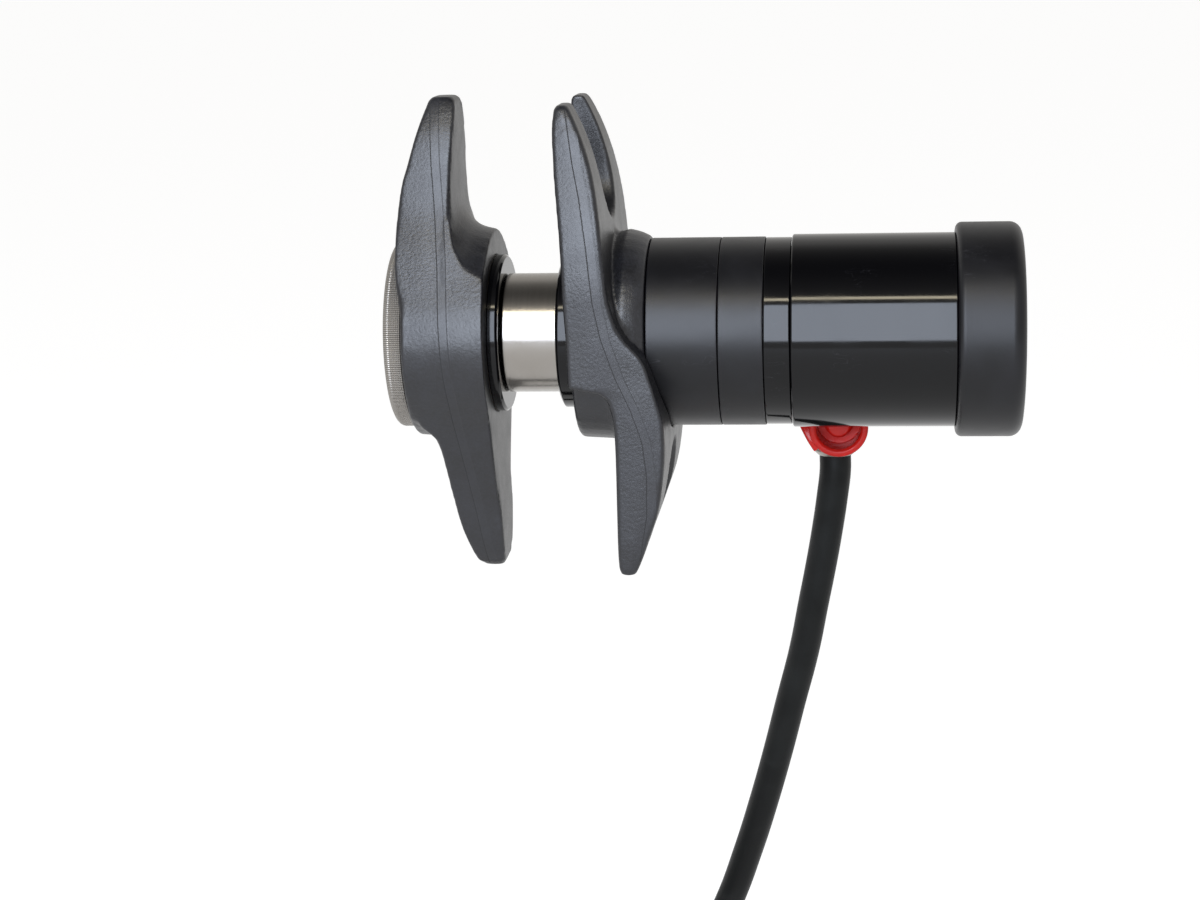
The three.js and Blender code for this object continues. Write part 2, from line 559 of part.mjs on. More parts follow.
// Crimped ferrule with two shallow grooves, from its start along X
function ferruleProfile(start) {
  const radius = ferrule.diameter / 2;
  const step = ferrule.length / ferrule.bands;
  const low = radius - ferrule.groove;
  return [[start, 0], [start, low], [start + ferrule.groove, radius], [start + step, radius],
    [start + step, low], [start + 2 * step, low], [start + 2 * step, radius], [start + 3 * step, radius],
    [start + 3 * step, low], [start + 4 * step, low], [start + 4 * step, radius],
    [start + ferrule.length - ferrule.groove, radius], [start + ferrule.length, low],
    [start + ferrule.length, 0]];
}

addMesh('hose_ferrule', alongDrop(turned(ferruleProfile(ferruleStart), smallSides)), steel());

// Dust cap: a cup whose mouth faces the front, with a centre pin and its moulded tether
const capX = portX + dustCap.sideStep;
const capOuter = dustCap.diameter / 2;
const cupRadius = capOuter - dustCap.lip;
const cupInner = cupRadius - dustCap.wall;
const cupFloor = dustCap.length - dustCap.floor;
const pinTip = cupFloor - dustCap.pinLength;
const cupProfile = [
  [pinTip, 0], [pinTip, dustCap.pin / 2], [cupFloor, dustCap.pin / 2], [cupFloor, cupInner], [0, cupInner],
  [0, capOuter], [dustCap.lipLength, capOuter], [dustCap.lipLength, cupRadius],
  [dustCap.length, cupRadius], [dustCap.length, 0],
];
const cup = turned(cupProfile, smallSides + smallSides / 2);
cup.rotateZ(Math.PI / 2).translate(capX, capForward - dustCap.length / 2, -capDrop);
const tetherInner = coupler.hexAcross / Math.sqrt(3) + fitGap;
const tetherMiddle = nippleStart + coupler.hexLength / 2;
const tetherRing = alongDrop(turned(ringProfile(tetherMiddle - tether.ringLength / 2,
  tetherMiddle + tether.ringLength / 2, tetherInner, tetherInner + tether.ringWall, 0), smallSides));
// Tether centre line, as shares of the way from the ring to the cap's lower left rim and of its side bulge
const tetherShares = [
  [0, 0, 0], [0.08, 0.2, 0.75], [0.3, 0.55, 1], [0.62, 0.85, 0.85], [0.88, 1, 0.35], [1, 1, 0],
];
const tetherTop = new THREE.Vector3(portX - tetherInner - tether.ringWall / 2, portReach, -tetherMiddle);
const cupMouth = capForward - dustCap.length / 2;
const tetherFoot = new THREE.Vector3(capX - capOuter * tether.footShare, cupMouth + dustCap.lipLength / 2,
  -capDrop - capOuter * tether.footShare);
const tetherPath = new THREE.CatmullRomCurve3(tetherShares.map(([down, forward, bulge]) => new THREE.Vector3(
  THREE.MathUtils.lerp(tetherTop.x, tetherFoot.x, down) - bulge * tether.bulge,
  THREE.MathUtils.lerp(tetherTop.y, tetherFoot.y, forward),
  THREE.MathUtils.lerp(tetherTop.z, tetherFoot.z, down),
)));
const tetherSection = new THREE.Shape([
  new THREE.Vector2(-tether.width / 2, -tether.thickness / 2),
  new THREE.Vector2(tether.width / 2, -tether.thickness / 2),
  new THREE.Vector2(tether.width / 2, tether.thickness / 2),
  new THREE.Vector2(-tether.width / 2, tether.thickness / 2),
]);
const strap = new THREE.ExtrudeGeometry(tetherSection,
  { steps: tether.steps, extrudePath: tetherPath, bevelEnabled: false });
addMesh('dust_cap', fromManifold(join([cup, tetherRing, strap])), redPlastic());

// Hose: its free drop from the ferrule to the surface that its coil lies on
const hoseRadius = hose.diameter / 2;
const floorLine = hoseRadius - hose.floorDrop;
const outerCoil = hose.coilMean / 2 + ((hose.diameter + hose.coilGap) * coilTurns) / 4;
const entry = THREE.MathUtils.degToRad(coilEntryDegrees);
const entryHeading = new THREE.Vector3(-Math.sin(entry), Math.cos(entry), 0);
const coilCentre = new THREE.Vector3(-hose.coilAhead, hose.coilBehind, floorLine);
const coilStart = coilCentre.clone()
  .add(new THREE.Vector3(outerCoil * Math.cos(entry), outerCoil * Math.sin(entry), 0));
const coilFace = coilStart.clone().addScaledVector(entryHeading, -hose.diameter);
const dropEnd = coilFace.clone().addScaledVector(entryHeading, -fitGap);
const dropRoute = [
  [portX, portReach, -ferruleEnd - fitGap], [portX, portReach, -ferruleEnd - fitGap - hoseRadius],
  [85.4, 59.2, -84], [82.4, 62.6, -104.5], [79.3, 66, -122.3], [76.4, 69, -137.4], [71.5, 75, -163.4],
  [65, 81, -190], [58.5, 87, -217.1], [51.2, 93, -244.8], [43, 100, -273], [32.5, 107.5, -304],
  [18, 117, -335], [-3, 130, -360],
].map(([x, y, z]) => new THREE.Vector3(x, y, z));
dropRoute.push(dropEnd.clone().addScaledVector(entryHeading, -hose.diameter), dropEnd);
const dropCurve = new THREE.CatmullRomCurve3(dropRoute, false, 'centripetal');
const hoseCircle = Array.from({ length: hoseSides }, (_, k) => {
  const angle = (2 * Math.PI * k) / hoseSides;
  return new THREE.Vector2(hoseRadius * Math.cos(angle), hoseRadius * Math.sin(angle));
});
addMesh('hose_drop', new THREE.ExtrudeGeometry(new THREE.Shape(hoseCircle),
  { steps: hoseSteps, extrudePath: dropCurve, bevelEnabled: false }), rubber());

// Coil: it spirals in on the surface, climbs a layer in the half turn where it reverses, and spirals out
const spiralEnd = 2 * Math.PI * coilTurns;
const reverse = spiralEnd / 2;
const layerRise = hose.diameter + hose.layerGap;
const pitchPerRadian = (hose.diameter + hose.coilGap) / (2 * Math.PI);

function coilPoint(swept) {
  const radius = outerCoil - pitchPerRadian * (reverse - Math.abs(swept - reverse));
  const climb = THREE.MathUtils.smoothstep(swept, reverse - Math.PI / 2, reverse + Math.PI / 2);
  const angle = entry + swept;
  const point = new THREE.Vector3(radius * Math.cos(angle), radius * Math.sin(angle), layerRise * climb);
  return point.add(coilCentre);
}

const turnCount = Math.round(coilTurns * coilSteps);
const coilPoints = [coilFace];
for (let i = 0; i <= turnCount; i += 1) coilPoints.push(coilPoint((spiralEnd * i) / turnCount));
const tailHeading = new THREE.Vector3(-Math.sin(entry + spiralEnd), Math.cos(entry + spiralEnd), 0);
const coilEnd = coilPoints[coilPoints.length - 1].clone();
const fittingDrop = layerRise + hoseRadius - farCap.diameter / 2;
for (let i = 1; i <= tailSteps; i += 1) {
  const run = (hose.tailRun * i) / tailSteps;
  const sink = THREE.MathUtils.smoothstep(run, 0, hose.tailRun - hose.diameter) * fittingDrop;
  const point = coilEnd.clone().addScaledVector(tailHeading, run);
  coilPoints.push(point.setZ(coilEnd.z - sink));
}
coilPoints.push(coilEnd.clone().addScaledVector(tailHeading, hose.tailRun + hose.diameter)
  .setZ(coilEnd.z - fittingDrop));
addMesh('hose_coil', tube(coilPoints, hose.diameter, coilSides, new THREE.Vector3(0, 0, 1)), rubber());
console.log('hose coil, least gap to itself', leastGap(coilPoints, hose.diameter, coilSteps - 4));
const coilLength = coilPoints.slice(1).reduce((sum, p, i) => sum + p.distanceTo(coilPoints[i]), 0);
console.log('hose length', dropCurve.getLength() + coilLength);

// Far end of the hose: ferrule, nipple and its closed dust cap, in line with the coil's tail
const tailEnd = coilPoints[coilPoints.length - 1];
const tailFrame = new THREE.Group();
tailFrame.position.copy(tailEnd);
tailFrame.rotation.z = Math.atan2(tailHeading.y, tailHeading.x);
tool.add(tailFrame);
addMesh('far_ferrule', turned(ferruleProfile(fitGap), smallSides), steel(), tailFrame);
const farHex = fitGap + ferrule.length + fitGap;
const farShank = farHex + farNipple.hexLength;
addMesh('far_nipple', fromManifold(join([
  hexBar(farHex, farShank, farNipple.hexAcross),
  plug(farHex, farShank + farNipple.shankLength, farNipple.shank / 2, smallSides),
])), steel(), tailFrame);
const farInner = farNipple.shank / 2 + fitGap;
const farTip = farShank + farNipple.shankLength + fitGap;
const farCapEnd = farTip + farCap.wall;
addMesh('far_dust_cap', turned([
  [farTip, 0], [farTip, farInner], [farShank + fitGap, farInner], [farShank + fitGap, farCap.diameter / 2],
  [farCapEnd - farCap.wall, farCap.diameter / 2], [farCapEnd, farCap.diameter / 2 - farCap.wall],
  [farCapEnd, 0],
], smallSides), redPlastic(), tailFrame);

export default group;
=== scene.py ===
# Hydraulic wheel stud press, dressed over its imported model. Metres, in that model's frame.
import math

import bmesh
import bpy
import numpy as np
from mathutils import Matrix, Vector, noise


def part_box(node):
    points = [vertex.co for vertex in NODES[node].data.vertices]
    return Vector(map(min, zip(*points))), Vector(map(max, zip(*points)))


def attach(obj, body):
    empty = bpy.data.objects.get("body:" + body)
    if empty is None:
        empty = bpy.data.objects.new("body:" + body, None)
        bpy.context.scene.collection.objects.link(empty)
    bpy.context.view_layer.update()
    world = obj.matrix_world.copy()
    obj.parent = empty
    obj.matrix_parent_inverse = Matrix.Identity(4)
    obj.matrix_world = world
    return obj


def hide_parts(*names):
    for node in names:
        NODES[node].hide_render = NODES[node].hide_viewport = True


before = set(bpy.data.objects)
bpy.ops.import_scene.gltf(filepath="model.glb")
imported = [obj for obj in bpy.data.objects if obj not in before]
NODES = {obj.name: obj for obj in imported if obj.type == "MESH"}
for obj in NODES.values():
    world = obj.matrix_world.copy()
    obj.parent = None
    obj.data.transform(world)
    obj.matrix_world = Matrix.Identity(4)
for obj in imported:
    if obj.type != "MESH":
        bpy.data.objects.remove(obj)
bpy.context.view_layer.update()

MM = 0.001

# Camera of the photograph
CAMERA_PLACE = Vector((0.10167, -0.9419, 0.2468))
CAMERA_RIGHT = Vector((0.9931, 0.1139, -0.0273))
CAMERA_BACK = Vector((0.1171, -0.9685, 0.2198))
LENS = 68.5
SENSOR = 36

# Lines that the pieces are turned round, in millimetres
STUD_DROP = 84
PORT_X = 86.6
PORT_REACH = 58
ELBOW_RADIUS = 10.5

# Facets and softened edges of the turned pieces
WIDE_STEPS = 160
SMALL_STEPS = 64
CORNER_ANGLE = math.radians(24)
SHARP_ANGLE = math.radians(40)
EDGE_SEGMENTS = 3
HOLD_FACTOR = 2.2
WELD = 0.001 * MM

# Gap between neighbouring pieces, in millimetres
GAP = 0.3


def linked(name, data):
    """A new object with the data, in the scene."""
    thing = bpy.data.objects.new(name, data)
    bpy.context.collection.objects.link(thing)
    return thing


def make_camera():
    camera = linked("camera", bpy.data.cameras.new("camera"))
    camera.data.lens = LENS
    camera.data.sensor_width = SENSOR
    camera.data.sensor_fit = "HORIZONTAL"
    back = CAMERA_BACK.normalized()
    right = (CAMERA_RIGHT - back * CAMERA_RIGHT.dot(back)).normalized()
    up = back.cross(right)
    turn = Matrix((right, up, back)).transposed().to_4x4()
    camera.matrix_world = Matrix.Translation(CAMERA_PLACE) @ turn
    bpy.context.scene.camera = camera


make_camera()

# Places of the lines: each frame's X is the line's own direction
ALONG_TOOL = Matrix.Translation((0, 0, STUD_DROP * MM))
ALONG_PORT = Matrix.Translation((PORT_X * MM, 0, STUD_DROP * MM)) @ Matrix.Rotation(math.pi / 2, 4, "Z")
ALONG_DROP = (Matrix.Translation((PORT_X * MM, PORT_REACH * MM, STUD_DROP * MM))
              @ Matrix.Rotation(math.pi / 2, 4, "Y"))

# Hose: its route down from the ferrule, in millimetres from the cylinder's axis
HOSE_DIAMETER = 14
DROP_ROUTE = [
    (PORT_X, PORT_REACH, -66.2), (PORT_X, PORT_REACH, -73.2), (85.4, 59.2, -84), (82.4, 62.6, -104.5),
    (79.3, 66, -122.3), (76.4, 69, -137.4), (71.5, 75, -163.4), (65, 81, -190), (58.5, 87, -217.1),
    (51.2, 93, -244.8), (43, 100, -273), (32.5, 107.5, -304), (18, 117, -335), (-3, 130, -360),
]
FLOOR_DROP = 380
COIL_MEAN = 140
FLOOR_CLEARANCE = 0.05
COIL_CENTRE = Vector((-104, 92, HOSE_DIAMETER / 2 - FLOOR_DROP + FLOOR_CLEARANCE))
COIL_GAP = 1
COIL_TRIM = 0.2
LAYER_GAP = 0.6
COIL_TURNS = 3.594
COIL_ENTRY = math.radians(56)
COIL_STEPS = 24
# Run before the coil in hose diameters, and height above it there
COIL_LEAD = ((2, 3.5), (1, 0.8))
TAIL_RUN = 62
TAIL_STEPS = 4
FAR_CAP_DIAMETER = 22


def heading(angle):
    return Vector((-math.sin(angle), math.cos(angle), 0))


def eased(value, low, high):
    share = min(max((value - low) / (high - low), 0), 1)
    return share * share * (3 - 2 * share)


def coil_route():
    """The coil spirals in, climbs a layer in the half turn where it reverses, and spirals out to its tail."""
    pitch = HOSE_DIAMETER + COIL_GAP
    outer = COIL_MEAN / 2 + pitch * COIL_TURNS / 4 - COIL_TRIM
    swept_end = 2 * math.pi * COIL_TURNS
    reverse = swept_end / 2
    rise = HOSE_DIAMETER + LAYER_GAP
    start = COIL_CENTRE + outer * Vector((math.cos(COIL_ENTRY), math.sin(COIL_ENTRY), 0))
    points = [start - heading(COIL_ENTRY) * HOSE_DIAMETER * run + Vector((0, 0, lift))
              for run, lift in COIL_LEAD]
    count = round(COIL_TURNS * COIL_STEPS)
    for i in range(count + 1):
        swept = swept_end * i / count
        radius = outer - pitch / (2 * math.pi) * (reverse - abs(swept - reverse))
        climb = eased(swept, reverse - math.pi / 2, reverse + math.pi / 2)
        angle = COIL_ENTRY + swept
        points.append(COIL_CENTRE + Vector((radius * math.cos(angle), radius * math.sin(angle),
                                            rise * climb)))
    end = points[-1].copy()
    out = heading(COIL_ENTRY + swept_end)
    sink = rise + HOSE_DIAMETER / 2 - FAR_CAP_DIAMETER / 2
    for i in range(1, TAIL_STEPS + 1):
        run = TAIL_RUN * i / TAIL_STEPS
        drop = eased(run, 0, TAIL_RUN - HOSE_DIAMETER) * sink
        points.append(end + out * run - Vector((0, 0, drop)))
    points.append(end + out * (TAIL_RUN + HOSE_DIAMETER) - Vector((0, 0, sink)))
    return points, out


COIL_ROUTE, TAIL_HEADING = coil_route()
HOSE_ROUTE = [(Vector(point) + Vector((0, 0, STUD_DROP))) * MM for point in DROP_ROUTE + COIL_ROUTE]
ALONG_TAIL = (Matrix.Translation(HOSE_ROUTE[-1])
              @ Matrix.Rotation(math.atan2(TAIL_HEADING.y, TAIL_HEADING.x), 4, "Z"))


def smooth_spline(curve, places):
    """A spline through the places, with automatic handles."""
    spline = curve.splines.new("BEZIER")
    spline.bezier_points.add(len(places) - 1)
    for knot, place in zip(spline.bezier_points, places):
        knot.co = place
        knot.handle_left_type = "AUTO"
        knot.handle_right_type = "AUTO"
    return spline


def make_hose():
    curve = bpy.data.curves.new("hose", "CURVE")
    curve.dimensions = "3D"
    curve.resolution_u = 6
    curve.bevel_depth = HOSE_DIAMETER / 2 * MM
    curve.bevel_resolution = 7
    curve.use_fill_caps = True
    smooth_spline(curve, HOSE_ROUTE)
    return linked("hose", curve)


# Node helpers
def feed(tree, socket, value):
    if isinstance(value, bpy.types.NodeSocket):
        tree.links.new(value, socket)
    elif value is not None:
        socket.default_value = value


def sums(tree, operation, *values):
    node = tree.nodes.new("ShaderNodeMath")
    node.operation = operation
    for socket, value in zip(node.inputs, values):
        feed(tree, socket, value)
    return node.outputs[0]


def blend(tree, share, low, high):
    """low where share is 0 and high where it is 1, for colours."""
    node = tree.nodes.new("ShaderNodeMix")
    node.data_type = "RGBA"
    feed(tree, node.inputs[0], share)
    feed(tree, node.inputs[6], low)
    feed(tree, node.inputs[7], high)
    return node.outputs[2]


def spread(tree, value, from_low, from_high, to_low, to_high):
    node = tree.nodes.new("ShaderNodeMapRange")
    for socket, number in zip(node.inputs, (value, from_low, from_high, to_low, to_high)):
        feed(tree, socket, number)
    return node.outputs[0]


def grainy(tree, place, scale, detail=2.0, distortion=0.0):
    node = tree.nodes.new("ShaderNodeTexNoise")
    feed(tree, node.inputs["Vector"], place)
    feed(tree, node.inputs["Scale"], scale)
    node.inputs["Detail"].default_value = detail
    node.inputs["Distortion"].default_value = distortion
    return node.outputs["Fac"]


def placed(tree, vector, shift=(0, 0, 0), scale=(1, 1, 1)):
    node = tree.nodes.new("ShaderNodeMapping")
    feed(tree, node.inputs["Vector"], vector)
    node.inputs["Location"].default_value = shift
    node.inputs["Scale"].default_value = scale
    return node.outputs["Vector"]


def parts_of(tree, vector):
    node = tree.nodes.new("ShaderNodeSeparateXYZ")
    feed(tree, node.inputs[0], vector)
    return node.outputs


def new_group(name, inputs, outputs):
    tree = bpy.data.node_groups.new(name, "ShaderNodeTree")
    for label, kind, value in inputs:
        socket = tree.interface.new_socket(label, in_out="INPUT", socket_type=kind)
        if value is not None:
            socket.default_value = value
    for label in outputs:
        tree.interface.new_socket(label, in_out="OUTPUT", socket_type="NodeSocketFloat")
    return tree, tree.nodes.new("NodeGroupInput").outputs, tree.nodes.new("NodeGroupOutput").inputs


VECTOR = "NodeSocketVector"
FLOAT = "NodeSocketFloat"


def forging_skin_group():
    """Scale skin of a forging: orange peel, with worm-like creases where the metal flowed, and painted shade
    darkening its tone in the creases.
    """
    tree, given, out = new_group(
        "forging skin",
        [("Place", VECTOR, None), ("Peel Scale", FLOAT, 820.0), ("Crease", FLOAT, 0.7)],
        ["Height", "Tone and crease shade"])
    peel = grainy(tree, given["Place"], given["Peel Scale"], 3.0)
    flowed = placed(tree, given["Place"], scale=(210, 280, 380))
    creased = grainy(tree, flowed, 1.0, 1.5, 1.1)
    ridge = sums(tree, "ABSOLUTE", sums(tree, "SUBTRACT", creased, 0.5))
    groove = spread(tree, ridge, 0.0, 0.09, 1.0, 0.0)
    crease = sums(tree, "MULTIPLY", groove, given["Crease"])
    wave = grainy(tree, given["Place"], 95.0, 2.0)
    height = sums(tree, "MULTIPLY_ADD", crease, -0.32, peel)
    tree.links.new(sums(tree, "MULTIPLY_ADD", wave, 0.4, height), out["Height"])
    tone = sums(tree, "MULTIPLY_ADD", peel, 0.5, sums(tree, "MULTIPLY", wave, 0.5))
    # Painted shade: the tone is lowered in the crease valleys
    tree.links.new(sums(tree, "MULTIPLY_ADD", crease, -0.1, tone), out["Tone and crease shade"])
    return tree


def handling_group():
    """Marks of use on a smooth coat: soft smudges and thin scratches."""
    tree, given, out = new_group("handling marks", [("Place", VECTOR, None), ("Amount", FLOAT, 0.5)],
                                 ["Smudge", "Scratch"])
    smudge = spread(tree, grainy(tree, given["Place"], 40.0, 4.0, 0.6), 0.42, 0.68, 0.0, 1.0)
    tree.links.new(sums(tree, "MULTIPLY", smudge, given["Amount"]), out["Smudge"])
    long = placed(tree, given["Place"], scale=(90, 700, 240))
    line = grainy(tree, long, 1.0, 2.0, 0.4)
    hair = spread(tree, sums(tree, "ABSOLUTE", sums(tree, "SUBTRACT", line, 0.5)), 0.0, 0.006, 1.0, 0.0)
    sparse = spread(tree, grainy(tree, given["Place"], 55.0, 1.0), 0.58, 0.66, 0.0, 1.0)
    scratch = sums(tree, "MULTIPLY", sums(tree, "MULTIPLY", hair, sparse), given["Amount"])
    tree.links.new(scratch, out["Scratch"])
    return tree


def turning_group():
    """Fine rings that a lathe leaves round the X axis of the place given."""
    tree, given, out = new_group("turning lines", [("Place", VECTOR, None), ("Lines", FLOAT, 3000.0)],
                                 ["Height"])
    along = parts_of(tree, given["Place"])[0]
    join = tree.nodes.new("ShaderNodeCombineXYZ")
    tree.links.new(sums(tree, "MULTIPLY", along, given["Lines"]), join.inputs[0])
    around = placed(tree, given["Place"], scale=(0, 12, 12))
    add = tree.nodes.new("ShaderNodeVectorMath")
    tree.links.new(join.outputs[0], add.inputs[0])
    tree.links.new(around, add.inputs[1])
    tree.links.new(grainy(tree, add.outputs[0], 1.0, 3.0), out["Height"])
    return tree


def knurl_group():
    """Straight teeth on a rim round the X axis of the place given; twice as many as the number given."""
    tree, given, out = new_group("straight knurl", [("Place", VECTOR, None), ("Teeth", FLOAT, 145.0)],
                                 ["Height"])
    _, y, z = parts_of(tree, given["Place"])
    around = sums(tree, "MULTIPLY", sums(tree, "ARCTAN2", z, y), given["Teeth"])
    tree.links.new(sums(tree, "ABSOLUTE", sums(tree, "SINE", around)), out["Height"])
    return tree


FORGING_SKIN = forging_skin_group()
HANDLING = handling_group()
TURNING = turning_group()
KNURL = knurl_group()

# Middle of the cylinder's axis, which patterns round it are centred on
AXIS_SHIFT = (0, 0, -STUD_DROP * MM)


class Finish:
    """A material with its Principled shader, and the object coordinates that its patterns read."""

    def __init__(self, name, colour, roughness, metallic=0.0):
        self.material = bpy.data.materials.new(name)
        self.material.use_nodes = True
        self.tree = self.material.node_tree
        self.shader = self.tree.nodes["Principled BSDF"]
        self.place = self.tree.nodes.new("ShaderNodeTexCoord").outputs["Object"]
        self.set("Base Color", (*colour, 1))
        self.set("Roughness", roughness)
        self.set("Metallic", metallic)

    def set(self, socket, value):
        feed(self.tree, self.shader.inputs[socket], value)

    def use(self, group, place=None, **values):
        node = self.tree.nodes.new("ShaderNodeGroup")
        node.node_tree = group
        feed(self.tree, node.inputs["Place"], place or self.place)
        for label, value in values.items():
            feed(self.tree, node.inputs[label.replace("_", " ")], value)
        return node.outputs

    def bump(self, height, strength, depth):
        node = self.tree.nodes.new("ShaderNodeBump")
        node.inputs["Strength"].default_value = strength
        node.inputs["Distance"].default_value = depth
        feed(self.tree, node.inputs["Height"], height)
        self.set("Normal", node.outputs["Normal"])


PARTING_LAYER = "parting"
PARTING_WIDTH = 0.0038


def forged_black():
    """Blackened forging skin, creased by the jaw's hub, with painted shade in the creases; the parting strip
    is smoother between its edges, with painted shade along its left edge and a painted highlight between its
    edges.
    """
    finish = Finish("forged_black", (0.01, 0.01, 0.012), 0.38)
    tree = finish.tree
    x, _, z = parts_of(tree, finish.place)
    by_hub = sums(tree, "ABSOLUTE", sums(tree, "SUBTRACT", z, 0.111))
    by_hub = spread(tree, by_hub, 0.009, 0.021, 1.0, 0.0)
    on_jaw = spread(tree, x, -0.05, -0.045, 1.0, 0.12)
    patch = spread(tree, grainy(tree, finish.place, 48.0, 2.0), 0.4, 0.6, 0.25, 1.0)
    creased = sums(tree, "MULTIPLY", sums(tree, "MULTIPLY", by_hub, on_jaw), patch)
    away = tree.nodes.new("ShaderNodeAttribute")
    away.attribute_name = PARTING_LAYER
    away = away.outputs["Fac"]
    left = spread(tree, sums(tree, "ABSOLUTE", away), 0.00006, 0.00024, 1.0, 0.0)
    right = sums(tree, "ABSOLUTE", sums(tree, "SUBTRACT", away, PARTING_WIDTH))
    right = spread(tree, right, 0.0001, 0.0005, 1.0, 0.0)
    inside = sums(tree, "ABSOLUTE", sums(tree, "SUBTRACT", away, PARTING_WIDTH / 2))
    inside = spread(tree, inside, PARTING_WIDTH / 2 - 0.0003, PARTING_WIDTH / 2, 1.0, 0.0)
    calm = spread(tree, inside, 0.0, 1.0, 1.0, 0.5)
    skin = finish.use(FORGING_SKIN, Crease=sums(tree, "MULTIPLY", creased, calm))
    # The skin's tone carries painted shade in the creases
    tone = spread(tree, skin["Tone and crease shade"], 0.35, 0.65, 0.0, 1.0)
    colour = blend(tree, tone, (0.0035, 0.0035, 0.005, 1), (0.01, 0.0105, 0.014, 1))
    # Painted highlight: the parting strip is lightened between its edges
    colour = blend(tree, sums(tree, "MULTIPLY", inside, 0.1), colour, (0.03, 0.031, 0.037, 1))
    # Painted shade along the groove at the parting strip's left edge
    colour = blend(tree, sums(tree, "MULTIPLY", left, 0.8), colour, (0.001, 0.001, 0.001, 1))
    finish.set("Base Color", colour)
    finish.set("Specular IOR Level", 0.58)
    rough = spread(tree, tone, 0.0, 1.0, 0.34, 0.41)
    finish.set("Roughness", sums(tree, "MULTIPLY_ADD", left, 0.35, rough))
    height = sums(tree, "MULTIPLY", skin["Height"], calm)
    height = sums(tree, "MULTIPLY_ADD", right, 0.3, height)
    finish.bump(sums(tree, "MULTIPLY_ADD", left, -0.9, height), 0.28, 0.0004)
    return finish.material


def satin_black():
    finish = Finish("satin_black", (0.012, 0.012, 0.014), 0.36)
    tree = finish.tree
    marks = finish.use(HANDLING, Amount=0.6)
    rings = finish.use(TURNING, Lines=2600.0)
    fine = grainy(tree, finish.place, 2200.0, 2.0)
    tone = blend(tree, marks["Smudge"], (0.003, 0.003, 0.004, 1), (0.008, 0.008, 0.01, 1))
    finish.set("Base Color", blend(tree, marks["Scratch"], tone, (0.05, 0.05, 0.055, 1)))
    rough = sums(tree, "MULTIPLY_ADD", marks["Smudge"], 0.1, 0.33)
    finish.set("Roughness", sums(tree, "MULTIPLY_ADD", fine, 0.06, rough))
    height = sums(tree, "MULTIPLY_ADD", fine, 0.4, rings["Height"])
    finish.bump(height, 0.12, 0.00006)
    finish.set("Specular IOR Level", 0.33)
    return finish.material


def gloss_black():
    finish = Finish("gloss_black", (0.002, 0.002, 0.003), 0.1)
    tree = finish.tree
    marks = finish.use(HANDLING, Amount=0.5)
    finish.set("Base Color", blend(tree, marks["Scratch"], (0.001, 0.001, 0.0015, 1), (0.03, 0.03, 0.034, 1)))
    rough = sums(tree, "MULTIPLY_ADD", marks["Smudge"], 0.09, 0.075)
    finish.set("Roughness", sums(tree, "MULTIPLY_ADD", marks["Scratch"], 0.2, rough))
    peel = grainy(tree, finish.place, 420.0, 2.0)
    finish.bump(peel, 0.03, 0.00005)
    finish.set("Specular IOR Level", 0.27)
    return finish.material


def rod_chrome():
    finish = Finish("rod_chrome", (0.38, 0.36, 0.33), 0.2, 1.0)
    tree = finish.tree
    rings = finish.use(TURNING, Lines=3800.0)
    cloud = grainy(tree, finish.place, 60.0, 3.0, 0.5)
    finish.set("Base Color", blend(tree, cloud, (0.27, 0.25, 0.225, 1), (0.34, 0.325, 0.305, 1)))
    finish.set("Roughness", spread(tree, rings["Height"], 0.3, 0.7, 0.15, 0.26))
    finish.bump(rings["Height"], 0.12, 0.00003)
    return finish.material


def bright_steel():
    finish = Finish("bright_steel", (0.34, 0.32, 0.29), 0.34, 1.0)
    tree = finish.tree
    marks = finish.use(HANDLING, Amount=0.7)
    grime_and_groove_shade = spread(tree, grainy(tree, finish.place, 150.0, 4.0), 0.4, 0.7, 0.0, 1.0)
    finish.set("Base Color", blend(tree, grime_and_groove_shade, (0.36, 0.34, 0.31, 1), (0.22, 0.2, 0.175, 1)))
    finish.set("Roughness", sums(tree, "MULTIPLY_ADD", marks["Smudge"], 0.15, 0.28))
    finish.bump(grainy(tree, finish.place, 1800.0, 2.0), 0.06, 0.00004)
    return finish.material


def knurled_steel():
    finish = Finish("knurled_steel", (0.3, 0.28, 0.26), 0.4, 0.9)
    tree = finish.tree
    around = placed(tree, finish.place, AXIS_SHIFT)
    teeth = finish.use(KNURL, around)
    # Painted shade: the colour darkens towards the bottoms of the knurl's grooves
    grime_and_groove_shade = spread(tree, teeth["Height"], 0.1, 0.75, 0.0, 1.0)
    finish.set("Base Color", blend(tree, grime_and_groove_shade, (0.11, 0.1, 0.088, 1), (0.36, 0.338, 0.31, 1)))
    finish.set("Roughness", spread(tree, grime_and_groove_shade, 0.0, 1.0, 0.55, 0.36))
    finish.bump(teeth["Height"], 0.7, 0.0003)
    return finish.material


def bronze():
    finish = Finish("bronze", (0.42, 0.25, 0.09), 0.3, 1.0)
    tree = finish.tree
    rings = finish.use(TURNING, Lines=2600.0)
    dull = grainy(tree, finish.place, 120.0, 3.0)
    finish.set("Base Color", blend(tree, dull, (0.34, 0.19, 0.06, 1), (0.5, 0.31, 0.12, 1)))
    finish.set("Roughness", spread(tree, dull, 0.3, 0.7, 0.25, 0.42))
    finish.bump(rings["Height"], 0.15, 0.00004)
    return finish.material


def black_rubber():
    finish = Finish("black_rubber", (0.012, 0.013, 0.013), 0.42)
    tree = finish.tree
    marks = finish.use(HANDLING, Amount=0.6)
    skin = grainy(tree, finish.place, 1200.0, 3.0)
    finish.set("Base Color", blend(tree, marks["Smudge"], (0.004, 0.0045, 0.0045, 1),
                                   (0.012, 0.013, 0.0125, 1)))
    finish.set("Roughness", sums(tree, "MULTIPLY_ADD", marks["Smudge"], 0.15, 0.42))
    finish.set("Specular IOR Level", 0.15)
    finish.bump(skin, 0.15, 0.00008)
    return finish.material


